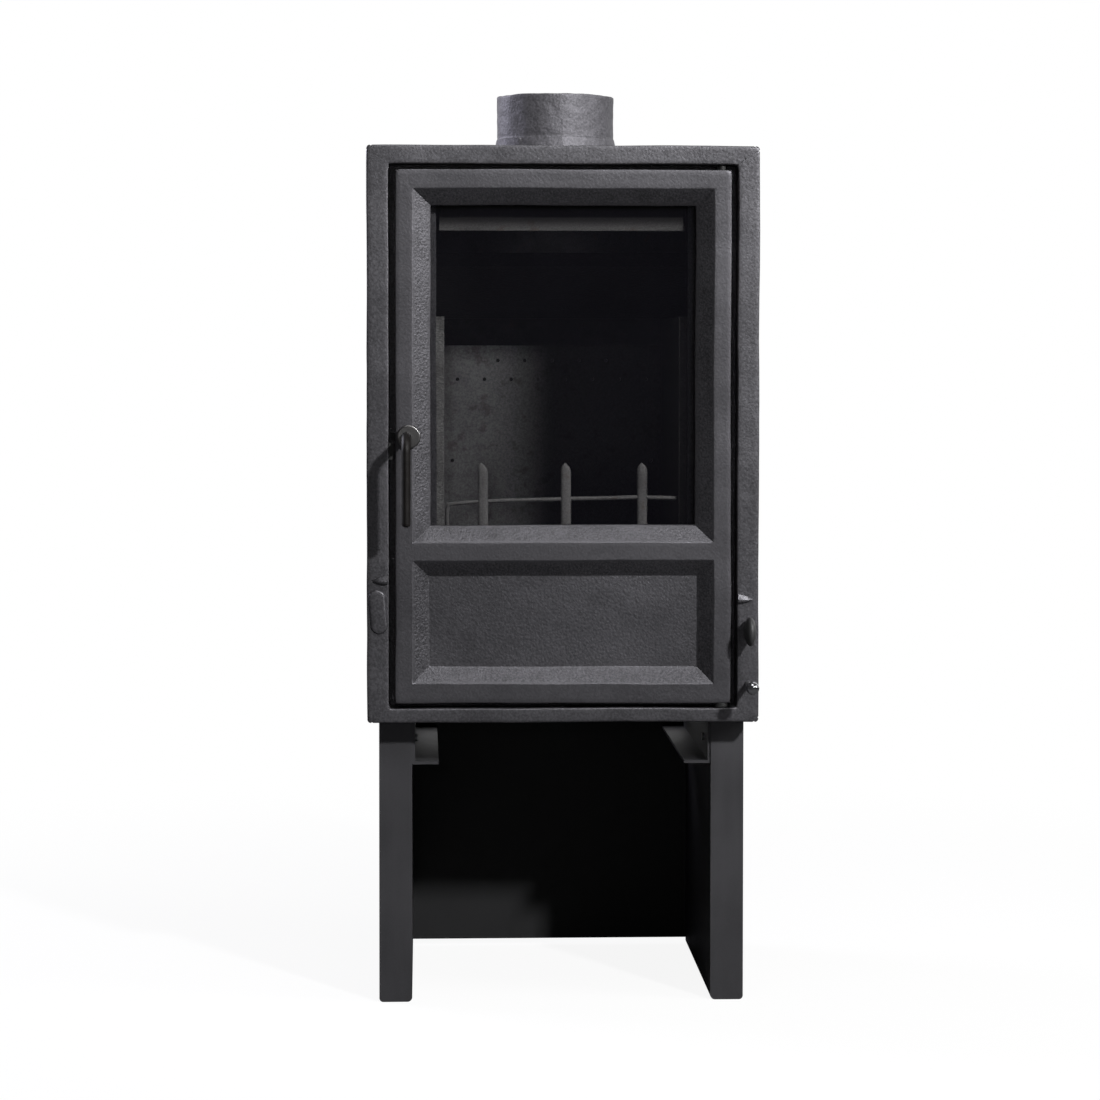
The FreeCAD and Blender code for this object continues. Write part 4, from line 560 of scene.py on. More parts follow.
# Painted shade: a near-black copy of the sheet paint for the stand's back panel, which sits in the shade
# under the body.
SHADE_DARK_BACK_PAINT = replace(SHEET_PAINT, colour=(0.0105, 0.0105, 0.0117), roughness=0.6, metallic=0.2)
BARE_CASTING = HeatedIron("bare_casting", (0.125, 0.121, 0.120), 0.62, grain=2.2 * MM, grain_depth=0.3 * MM)
FENCE_IRON = replace(BARE_CASTING, colour=(0.16, 0.156, 0.156), roughness=0.55, sooting=0.35)
# The rear air plate: its fade is painted shade, darkening the plate towards its right side beyond the edge of
# the light through the window.
AIR_PLATE_IRON = HeatedIron(
    "bare_casting",
    (0.40, 0.395, 0.40),
    0.3,
    metallic=1.0,
    grain=2.0 * MM,
    grain_depth=0.05 * MM,
    sooting=0.2,
    painted_shade_fade=(Axis.X, -85 * MM, 5 * MM),
)
FIREBOX_STEEL = HeatedIron("firebox_steel", (0.05, 0.049, 0.051), 0.55, grain=1.4 * MM, grain_depth=0.1 * MM)
# The airwash strip: its fade is painted shade, darkening the strip towards its top under the window's top
# edge.
AIRWASH_STEEL = replace(
    FIREBOX_STEEL,
    colour=(0.15, 0.147, 0.145),
    roughness=0.6,
    specular=0.05,
    sooting=0.3,
    painted_shade_fade=(Axis.Z, 786 * MM, 798 * MM),
)
FIRE_BOARD = FireBoard("fire_board", (0.19, 0.188, 0.185), 0.9, grain=3.2 * MM, grain_depth=0.4 * MM)
# Painted shade: a darker copy of the fire board for the right lining, which faces away from the key lamp.
SHADE_SIDE_BOARD = replace(FIRE_BOARD, colour=(0.045, 0.044, 0.044))
# Painted shade: a near-black copy of the fire board for the baffle, for the shade at the top of the firebox.
SHADE_BLACK_BOARD = replace(
    FIRE_BOARD, colour=(0.013, 0.0125, 0.0125), roughness=0.95, soot_and_shade=(0.006, 0.006, 0.006)
)
WINDOW_GLASS = WindowGlass("window_glass", (0.0065, 0.0062, 0.009), 0.04)
ROPE_FIBRE = WovenFibre("rope_fibre", (0.15, 0.148, 0.142), 0.9, grain=1.6 * MM, grain_depth=0.5 * MM)
BALL_CHROME = WorkedMetal(
    "ball_chrome", (0.38, 0.38, 0.40), 0.10, metallic=1.0, grain=0.8 * MM, grain_depth=0.01 * MM
)
ROSETTE_NICKEL = WorkedMetal(
    "rosette_nickel", (0.15, 0.147, 0.147), 0.34, metallic=1.0, grain=1.0 * MM, grain_depth=0.02 * MM
)
LEVER_BRONZE = WorkedMetal(
    "lever_bronze",
    (0.007, 0.0060, 0.0056),
    0.5,
    specular=0.16,
    grain=1.5 * MM,
    grain_depth=0.03 * MM,
    spread=0.3,
)
KNOB_BLACK = WorkedMetal("knob_black", (0.028, 0.028, 0.029), 0.5, grain=1.8 * MM, grain_depth=0.04 * MM)
PLAIN_STEEL = WorkedMetal(
    "plain_steel", (0.36, 0.36, 0.37), 0.38, metallic=1.0, grain=1.0 * MM, grain_depth=0.02 * MM
)
# Painted shade: a near-black copy of the plain steel for the pins, washer and latch parts that sit in the
# door's gaps, where shade falls.
GAP_SHADE_STEEL = replace(
    PLAIN_STEEL, colour=(0.012, 0.012, 0.012), roughness=0.6, metallic=0.2, grain_depth=0.03 * MM, spread=0.25
)


# Surfaces on grids


@dataclass(frozen=True)
class Patch:
    """Points of a surface and its four-sided faces."""

    points: np.ndarray
    faces: np.ndarray

    @staticmethod
    def grid(points: np.ndarray, closed_rows: bool = False, closed_columns: bool = False) -> "Patch":
        """Join a grid of points into faces.

        Args:
            points: An array of rows, columns and three coordinates.
            closed_rows: Whether the last row meets the first.
            closed_columns: Whether the last column meets the first.

        Returns:
            The patch.
        """
        rows, columns = points.shape[:2]
        index = np.arange(rows * columns).reshape(rows, columns)
        if closed_rows:
            index = np.vstack([index, index[:1]])
        if closed_columns:
            index = np.hstack([index, index[:, :1]])
        faces = np.stack([index[:-1, :-1], index[1:, :-1], index[1:, 1:], index[:-1, 1:]], axis=-1)
        return Patch(points.reshape(-1, 3), faces.reshape(-1, 4))

    def without(self, low: Sequence[float], high: Sequence[float]) -> "Patch":
        """The patch less the faces whose middles lie in a box.

        Args:
            low: The lowest corner of the box.
            high: The highest corner of the box.

        Returns:
            The patch with the faces that are left.
        """
        middles = self.points[self.faces].mean(axis=1)
        inside = np.all((middles > low) & (middles < high), axis=1)
        return Patch(self.points, self.faces[~inside])

    def pierced(self, *holes: "Rectangle") -> "Patch":
        """The patch less the faces inside upright rectangles.

        Args:
            holes: The rectangles.

        Returns:
            The patch with its holes.
        """
        patch = self
        for hole in holes:
            patch = patch.without((-hole.side, -1, hole.low), (hole.side, 1, hole.high))
        return patch


@dataclass(frozen=True)
class CastWave:
    """The slow unevenness of a hand-poured casting: sine waves of a few lengths along odd directions."""

    height: float = 0.2 * MM
    lengths: tuple[float, ...] = (0.19, 0.11, 0.061, 0.036)
    falling: float = 0.62
    seed: int = 5
    directions: int = 7

    def moved(self, points: np.ndarray) -> np.ndarray:
        """Move each point by the sum of waves at its place.

        Args:
            points: Rows of coordinates.

        Returns:
            The moved rows.
        """
        draw = np.random.default_rng(self.seed)
        shift = np.zeros_like(points)
        for count, length in enumerate(self.lengths):
            ways = draw.normal(size=(3, 3, self.directions))
            ways /= np.linalg.norm(ways, axis=0)
            turns = np.tensordot(points, ways, axes=1) / length + draw.uniform(size=ways.shape[1:])
            height = self.height * self.falling**count * math.sqrt(2 / self.directions)
            shift += height * np.sin(2 * math.pi * turns).sum(axis=-1)
        return points + shift


class Shell:
    """A closed piece gathered from patches that share their edges."""

    def __init__(self, name: str) -> None:
        """Start an empty piece."""
        self.name = name
        self.patches: list[Patch] = []

    def add(self, *patches: Patch) -> "Shell":
        """Add patches to the piece."""
        self.patches.extend(patches)
        return self

    def built(self, wave: CastWave | None = None) -> bpy.types.Object:
        """Weld the patches into one mesh with outward faces.

        Args:
            wave: Unevenness to put on every point.

        Returns:
            The object, with its place in its mesh.
        """
        starts = np.cumsum([0] + [len(patch.points) for patch in self.patches[:-1]])
        points = np.vstack([patch.points for patch in self.patches])
        faces = np.vstack([patch.faces + start for patch, start in zip(self.patches, starts)])
        if wave:
            points = wave.moved(points)
        mesh = bpy.data.meshes.new(self.name)
        mesh.from_pydata(points.tolist(), [], faces.tolist())
        work = bmesh.new()
        work.from_mesh(mesh)
        bmesh.ops.remove_doubles(work, verts=work.verts, dist=WELD)
        loose = [vert for vert in work.verts if not vert.link_faces]
        bmesh.ops.delete(work, geom=loose, context="VERTS")
        bmesh.ops.recalc_face_normals(work, faces=work.faces)
        work.to_mesh(mesh)
        work.free()
        mesh.shade_smooth()
        mesh.set_sharp_from_angle(angle=SHARP_ANGLE)
        piece = bpy.data.objects.new(self.name, mesh)
        bpy.context.scene.collection.objects.link(piece)
        return piece


def lines(stops: Iterable[float], step: float) -> np.ndarray:
    """Grid lines through all stops, with even lines between them no further apart than a step.

    Args:
        stops: The places that need a line.
        step: The widest gap.

    Returns:
        The lines in order.
    """
    marks = sorted(stops)
    runs = [
        np.linspace(low, high, max(1, math.ceil((high - low) / step - ROUNDING)), endpoint=False)
        for low, high in zip(marks[:-1], marks[1:])
    ]
    return np.concatenate(runs + [np.array(marks[-1:])])


def within(values: np.ndarray, low: float, high: float) -> np.ndarray:
    """The grid lines from low to high."""
    return values[(values > low - NEAR) & (values < high + NEAR)]


def softened(outline: Sequence[Sequence[float]], reach: float, steps: int = 5) -> np.ndarray:
    """Soften the inner corners of an open outline.

    Each corner c gives way to the curve (1-t)^2 a + 2t(1-t) c + t^2 b, where a and b lie a reach before
    and after it.

    Args:
        outline: Points in order.
        reach: How far from a corner its curve starts and ends.
        steps: Points on each curve.

    Returns:
        The softened outline.
    """
    points = np.asarray(outline, float)
    corner = points[1:-1]
    back = points[:-2] - corner
    onward = points[2:] - corner
    back *= reach / np.linalg.norm(back, axis=1, keepdims=True)
    onward *= reach / np.linalg.norm(onward, axis=1, keepdims=True)
    t = np.linspace(0, 1, steps)[None, :, None]
    curves = corner[:, None] + (1 - t) ** 2 * back[:, None] + t**2 * onward[:, None]
    return np.vstack([points[:1], curves.reshape(-1, points.shape[1]), points[-1:]])


def spaced(outline: np.ndarray, step: float) -> np.ndarray:
    """The outline with more points on its long runs, no further apart than about a step.

    Args:
        outline: Points in order.
        step: About the widest gap.

    Returns:
        The outline with the added points.
    """
    lengths = np.linalg.norm(np.diff(outline, axis=0), axis=1)
    counts = np.maximum(1, np.round(lengths / step).astype(int))
    runs = [
        np.linspace(first, second, count, endpoint=False)
        for first, second, count in zip(outline[:-1], outline[1:], counts)
    ]
    return np.vstack(runs + [outline[-1:]])


def around(steps: int) -> np.ndarray:
    """Even angles round a circle."""
    return np.arange(steps) * 2 * math.pi / steps


def quarter(steps: int) -> np.ndarray:
    """Even angles over a quarter circle, from 0 to the right angle."""
    return np.linspace(0, math.pi / 2, steps)


def upright_middle(low: Vector, high: Vector, depth: float = 0.0) -> Vector:
    """The middle of a box as seen from the front, at a depth."""
    return Vector(((low.x + high.x) / 2, depth, (low.z + high.z) / 2))


@dataclass(frozen=True)
class Ring:
    """A closed way round a rectangle: places from -1 to 1 and the pull of its rounded corners."""

    base: np.ndarray
    pull: np.ndarray

    @staticmethod
    def through(across: np.ndarray, up: np.ndarray, corner_steps: int = 1) -> "Ring":
        """A ring through grid lines.

        Args:
            across: The lines from left to right.
            up: The lines from bottom to top.
            corner_steps: Points on each corner's quarter circle.

        Returns:
            The ring, anticlockwise from the lower left corner.
        """
        u = 2 * (across - across[0]) / (across[-1] - across[0]) - 1
        v = 2 * (up - up[0]) / (up[-1] - up[0]) - 1
        inner_u, inner_v = u[1:-1], v[1:-1]
        one_u, one_v = np.ones_like(inner_u), np.ones_like(inner_v)
        turn = quarter(corner_steps)
        bulge = np.stack([1 - np.sin(turn), 1 - np.cos(turn)], axis=1)[::-1]
        sides = [
            np.stack([inner_u, -one_u], axis=1),
            np.stack([one_v, inner_v], axis=1),
            np.stack([inner_u[::-1], one_u], axis=1),
            np.stack([-one_v, inner_v[::-1]], axis=1),
        ]
        signs = [(-1, -1), (1, -1), (1, 1), (-1, 1)]
        base, pull = [], []
        for count, (side, sign) in enumerate(zip(sides, signs)):
            swing = bulge if count % 2 else bulge[::-1]
            base += [np.tile(np.array(sign, float), (corner_steps, 1)), side]
            pull += [-swing * np.array(sign), np.zeros_like(side)]
        return Ring(np.vstack(base), np.vstack(pull))

    @staticmethod
    def inside(box: "Rectangle", across: np.ndarray, up: np.ndarray) -> "Ring":
        """A ring through the grid lines that lie in a rectangle."""
        return Ring.through(within(across, -box.side, box.side), within(up, box.low, box.high))

    def carried(self, steps: Sequence[tuple["Rectangle", float, float]], closed_rows: bool = False) -> Patch:
        """Carry a profile round the ring, to middle + base * half + pull * radius at each of its points.

        Args:
            steps: A rectangle, a depth and a corner radius for each point of the profile.
            closed_rows: Whether the profile's last point meets its first.

        Returns:
            The patch, closed round the ring.
        """
        boxes, depths, radii = zip(*steps)
        half, middle = np.array([box.half for box in boxes]), np.array([box.middle for box in boxes])
        flat = middle[:, None] + self.base * half[:, None] + self.pull * np.array(radii)[:, None, None]
        deep = np.broadcast_to(np.array(depths)[:, None], flat.shape[:2])
        grid = np.stack([flat[..., 0], deep, flat[..., 1]], axis=-1)
        return Patch.grid(grid, closed_rows, closed_columns=True)


@dataclass(frozen=True)
class Rectangle:
    """An upright rectangle facing the front, symmetric about the middle of the stove."""

    side: float
    low: float
    high: float

    @staticmethod
    def facing(low: Vector, high: Vector) -> "Rectangle":
        """The front of a box."""
        return Rectangle(high.x, low.z, high.z)

    def inset(self, across: float, up: float | None = None) -> "Rectangle":
        """The rectangle drawn in at the sides and at both ends."""
        end = across if up is None else up
        return Rectangle(self.side - across, self.low + end, self.high - end)

    @property
    def half(self) -> np.ndarray:
        """Half its width and half its height."""
        return np.array([self.side, (self.high - self.low) / 2])

    @property
    def middle(self) -> np.ndarray:
        """The middle of the rectangle."""
        return np.array([0.0, (self.high + self.low) / 2])


def between(first: Rectangle, second: Rectangle, share: float) -> Rectangle:
    """The rectangle that lies a share of the way from the first to the second."""
    return Rectangle(*((1 - share) * a + share * b for a, b in zip(astuple(first), astuple(second))))


@dataclass(frozen=True)
class Way:
    """A line through space with two directions square to it, along which a section is carried."""

    points: np.ndarray
    side: np.ndarray
    other: np.ndarray
    distance: np.ndarray
    length: float

    @staticmethod
    def encircling(box: Rectangle, radius: float, depth: float, step: float) -> "Way":
        """A closed way round an upright rectangle with rounded corners, at even steps.

        Args:
            box: The rectangle.
            radius: The corner radius.
            depth: The Y of the way.
            step: About how far apart its points are.

        Returns:
            The way, whose first direction points out of the rectangle and whose second is +Y.
        """
        corner_steps = 17
        quarters = [quarter(corner_steps) + turn * math.pi / 2 for turn in range(4)]
        angle = np.concatenate(quarters + [np.zeros(1)])
        signs = np.repeat(np.array([(1, 1), (-1, 1), (-1, -1), (1, -1)]), corner_steps, axis=0)
        signs = np.vstack([signs, signs[:1]])
        out = np.stack([np.cos(angle), np.sin(angle)], axis=1)
        corner = box.middle + signs * (box.half - radius) + radius * out
        marks = np.concatenate([[0.0], np.cumsum(np.linalg.norm(np.diff(corner, axis=0), axis=1))])
        count = round(marks[-1] / step)
        distance = np.arange(count) * marks[-1] / count
        x, z, out_x, out_z = (np.interp(distance, marks, part) for part in (*corner.T, *out.T))
        side = np.stack([out_x, np.zeros(count), out_z], axis=1)
        side /= np.linalg.norm(side, axis=1, keepdims=True)
        points = np.stack([x, np.full(count, depth), z], axis=1)
        return Way(points, side, np.tile((0.0, 1.0, 0.0), (count, 1)), distance, marks[-1])

    @staticmethod
    def through(points: np.ndarray, side: Sequence[float]) -> "Way":
        """An open way through points, whose second direction is square to the line and to the first.

        Args:
            points: Rows of coordinates in order.
            side: The first direction, the same all along.

        Returns:
            The way.
        """
        ahead = np.gradient(points, axis=0)
        other = np.cross(ahead, np.asarray(side, float))
        other /= np.linalg.norm(other, axis=1, keepdims=True)
        steps = np.linalg.norm(np.diff(points, axis=0), axis=1)
        distance = np.concatenate([[0.0], np.cumsum(steps)])
        return Way(points, np.tile(np.asarray(side, float), (len(points), 1)), other, distance, distance[-1])

    def carried(self, across: np.ndarray, deep: np.ndarray) -> np.ndarray:
        """Carry a section along the way: point + across * first direction + deep * second direction."""
        first = across[..., None] * self.side[:, None]
        return self.points[:, None] + first + deep[..., None] * self.other[:, None]

    def closed(self, across: np.ndarray, deep: np.ndarray) -> Patch:
        """Carry a section along the way and draw it to a point at both ends.

        Args:
            across: The section along the first direction, in rows along the way.
            deep: The section along the second direction.

        Returns:
            The closed patch.
        """
        grid = self.carried(across, deep)
        start, end = (np.broadcast_to(self.points[count], (1, *grid.shape[1:])) for count in (0, -1))
        return Patch.grid(np.vstack([start, grid, end]), closed_columns=True)


def squarish(angle: np.ndarray, power: float) -> tuple[np.ndarray, np.ndarray]:
    """The cosine and the sine of an angle, each raised to a power under its sign, for a squarer section."""
    cosine, sine = np.cos(angle), np.sin(angle)
    return np.sign(cosine) * np.abs(cosine) ** power, np.sign(sine) * np.abs(sine) ** power


def plate(across: np.ndarray, up: np.ndarray, depth: float) -> Patch:
    """A flat upright sheet of faces on grid lines."""
    x, z = np.meshgrid(across, up, indexing="ij")
    return Patch.grid(np.stack([x, np.full_like(x, depth), z], axis=-1))


def turned(outline: np.ndarray, centre: Vector, axis: Axis, steps: int, squash: float = 1.0) -> Patch:
    """Turn an outline about an axis.

    The point at radius r and height h goes to centre + h along the axis and r round it. An outline whose ends
    have radius 0 closes on itself there.

    Args:
        outline: Rows of radius and height.
        centre: A point on the axis.
        axis: The axis, Y or Z.
        steps: Points round the axis.
        squash: The second radius as a share of the first.

    Returns:
        The turned patch.
    """
    angle = around(steps)
    radius, height = outline[:, :1], outline[:, 1:]
    local = np.stack(
        [
            radius * np.cos(angle)[None],
            radius * squash * np.sin(angle)[None],
            np.broadcast_to(height, (len(outline), steps)),
        ],
        axis=-1,
    )
    order = {Axis.Y: (0, 2, 1), Axis.Z: (0, 1, 2)}[axis]
    return Patch.grid(local[..., order] + np.array(centre), closed_columns=True)


# The stove


class Stove:
    """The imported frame, and what is put on it."""

    def __init__(self) -> None:
        """Load the frame and keep its box."""
        self.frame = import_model()
        self.cad_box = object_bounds()
        self.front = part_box("door_casting")[0].y
        self.materials: dict[Finish, bpy.types.Material] = {}

    def material(self, finish: Finish) -> bpy.types.Material:
        """The one material of a finish.

        Args:
            finish: The finish.

        Returns:
            Its material, made when it is first asked for.
        """
        if finish not in self.materials:
            self.materials[finish] = finish.material()
        return self.materials[finish]

    def dress(self, finish: Finish, *nodes: str) -> None:
        """Give CAD nodes a finish.

        Args:
            finish: The finish.
            nodes: The names of the nodes.
        """
        for name in nodes:
            mesh = self.frame["nodes"][name].data
            mesh.materials.clear()
            mesh.materials.append(self.material(finish))
            LOG.info("dressed %s in %s", name, finish.slot)

    def put(self, piece: bpy.types.Object, body: Body, finish: Finish, *nodes: str) -> None:
        """Put a new piece in place of CAD nodes.

        Args:
            piece: The piece.
            body: The body that it rides on.
            finish: Its finish.
            nodes: The nodes that it stands for.
        """
        piece.data.materials.append(self.material(finish))
        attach(piece, body.value)
        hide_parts(*nodes)
        LOG.info("made %s, %d faces, on %s", piece.name, len(piece.data.polygons), body.value)


@dataclass
class FrontFrame:
    """The cast rim round the door, its fin lugs and the oval cap on its left rail."""

    side_rail: float = 22 * MM
    top_rail: float = 19 * MM
    bottom_rail: float = 14.5 * MM
    edge: float = 1.8 * MM
    opening_edge: float = 1.5 * MM
    corner: float = 3.5 * MM
    opening_corner: float = 1 * MM
    ledge_depth: float = 28 * MM
    ledge_side: float = 48 * MM
    ledge_end: float = 25 * MM
    step: float = 6 * MM
    corner_steps: int = 5
    edge_steps: int = 6
    face_steps: int = 6
    ledge_steps: int = 7
    back_steps: int = 9
    lug_length: float = 16 * MM
    lug_rise: float = 4.6 * MM
    lug_out: float = 4 * MM
    lug_droop: float = 1.4 * MM
    lug_gap: float = 1 * MM
    lug_heights: tuple[float, float] = (435 * MM, 415 * MM)
    lug_section: tuple[tuple[float, float], ...] = (
        (-0.3, 1.0),
        (0.65, 0.9),
        (1.0, -0.4),
        (0.9, -1.0),
        (-0.3, -1.0),
    )
    lug_edge: float = 0.12
    lug_steps: int = 16
    cap_tilt: float = math.radians(5)
    cap_rises: tuple[float, ...] = (0.0, 0.35, 0.7, 0.87, 0.95, 0.98)
    cap_insets: tuple[float, ...] = (0.0, 0.3 * MM, 0.8 * MM, 1.5 * MM, 2.6 * MM, 4.5 * MM)
    wave: CastWave = CastWave()
    cap_steps: int = 72
    cap_wave: CastWave = CastWave(0.1 * MM)

    def build(self, stove: Stove) -> None:
        """Make the frame and its cap.

        Args:
            stove: The stove that the pieces are put on.
        """
        low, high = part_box("front_frame")
        outer = Rectangle.facing(low, high)
        opening = Rectangle(
            outer.side - self.side_rail, outer.low + self.bottom_rail, outer.high - self.top_rail
        )
        shell = Shell("front_frame_casting")
        shell.add(self.rim(outer, opening, stove.front, high.y))
        for sign, height in zip((-1, 1), self.lug_heights):
            shell.add(self.lug(sign, opening.side, stove.front, height))
        stove.put(shell.built(self.wave), Body.STOVE, CASTING_PAINT, "front_frame")
        cap = Shell("oval_cap").add(self.cap(stove.front))
        stove.put(cap.built(self.cap_wave), Body.STOVE, CASTING_PAINT, "oval_blanking_cap")

    def rim(self, outer: Rectangle, opening: Rectangle, front: float, back: float) -> Patch:
        """The frame's section carried round the rectangle.

        The section goes from the back up the outer side, over the softened edge, across the front, round the
        opening's edge, down to the ledge, over the ledge and back, so that it closes.

        Args:
            outer: The outside of the frame.
            opening: The door's opening.
            front: The Y of the front face.
            back: The Y of the back face.

        Returns:
            The closed patch.
        """
        ledge = front + self.ledge_depth
        throat = opening.inset(self.ledge_side, self.ledge_end)
        sides = [
            (outer, y, self.corner)
            for y in np.linspace(back, front + self.edge, self.face_steps, endpoint=False)
        ]
        over = [
            (outer.inset(self.edge * (1 - math.cos(a))), front + self.edge * (1 - math.sin(a)), self.corner)
            for a in quarter(self.edge_steps)
        ]
        inner_edge = opening.inset(-self.opening_edge)
        across = [
            (between(outer.inset(self.edge), inner_edge, t), front, self.corner * (1 - t))
            for t in np.linspace(0, 1, self.face_steps)[1:-1]
        ]
        radius = self.opening_corner
        round_in = [
            (
                inner_edge.inset(self.opening_edge * math.sin(a)),
                front + self.opening_edge * (1 - math.cos(a)),
                radius,
            )
            for a in quarter(self.edge_steps)
        ]
        depths = np.linspace(front + self.opening_edge, ledge, self.face_steps)
        down = [(opening, y, radius) for y in depths[1:]]
        inward, outward = (np.linspace(0, 1, steps) for steps in (self.ledge_steps, self.back_steps))
        shelf = [(between(opening, throat, t), ledge, radius) for t in inward[1:]]
        behind = [(between(throat, outer, t), back, radius) for t in outward[:-1]]
        across_lines = lines((-outer.side, outer.side), self.step)
        up_lines = lines((outer.low, outer.high), self.step)
        ring = Ring.through(across_lines, up_lines, self.corner_steps)
        section = sides + over + across + round_in + down + shelf + behind
        return ring.carried(section, closed_rows=True)

    def lug(self, sign: int, opening_side: float, front: float, height: float) -> Patch:
        """A fin lug: a wedge whose face leans out downwards to a lower lip, and which narrows to a tip.

        At share t of its length the section's height is scaled by 1 - t^1.6, about a middle that droops in
        step with t, and its depth by 1 - t^5.

        Args:
            sign: -1 for the left rail and 1 for the right.
            opening_side: Half the opening's width.
            front: The Y of the frame's front.
            height: The Z of the lug.

        Returns:
            The closed wedge.
        """
        out, up = softened(self.lug_section, self.lug_edge).T
        t = np.concatenate([[0.0], np.linspace(0, 1, self.lug_steps)])[:, None]
        size, depth = 1 - t**1.6, 1 - t**5
        size[0] = depth[0] = 0.0
        x = sign * (opening_side + self.lug_gap + t * self.lug_length)
        y = front - self.lug_out * depth * out
        z = height - self.lug_droop * t + self.lug_rise * size * up
        return Patch.grid(np.stack(np.broadcast_arrays(x, y, z), axis=-1), closed_columns=True)

    def cap(self, front: float) -> Patch:
        """The oval cap: a tilted stadium drawn in over a sloping edge to a smooth, slightly domed face.

        Args:
            front: The Y of the frame's front.

        Returns:
            The closed patch.
        """
        low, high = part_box("oval_blanking_cap")
        half = (high - low) / 2
        angle = around(self.cap_steps)
        rise = np.array([0.0, *self.cap_rises, 1.0])
        inset = np.array([half.x, *self.cap_insets, half.x])
        radius = np.maximum(half.x - inset, 0)[:, None]
        straight = half.z - half.x
        x = radius * np.cos(angle)
        z = radius * np.sin(angle) + straight * np.sign(np.sin(angle)) * (radius > 0)
        y = np.broadcast_to((front + rise * (low.y - front))[:, None], x.shape)
        cosine, sine = math.cos(self.cap_tilt), math.sin(self.cap_tilt)
        tilted = np.stack([cosine * x - sine * z, y, sine * x + cosine * z], axis=-1)
        return Patch.grid(tilted + np.array(upright_middle(low, high)), closed_columns=True)


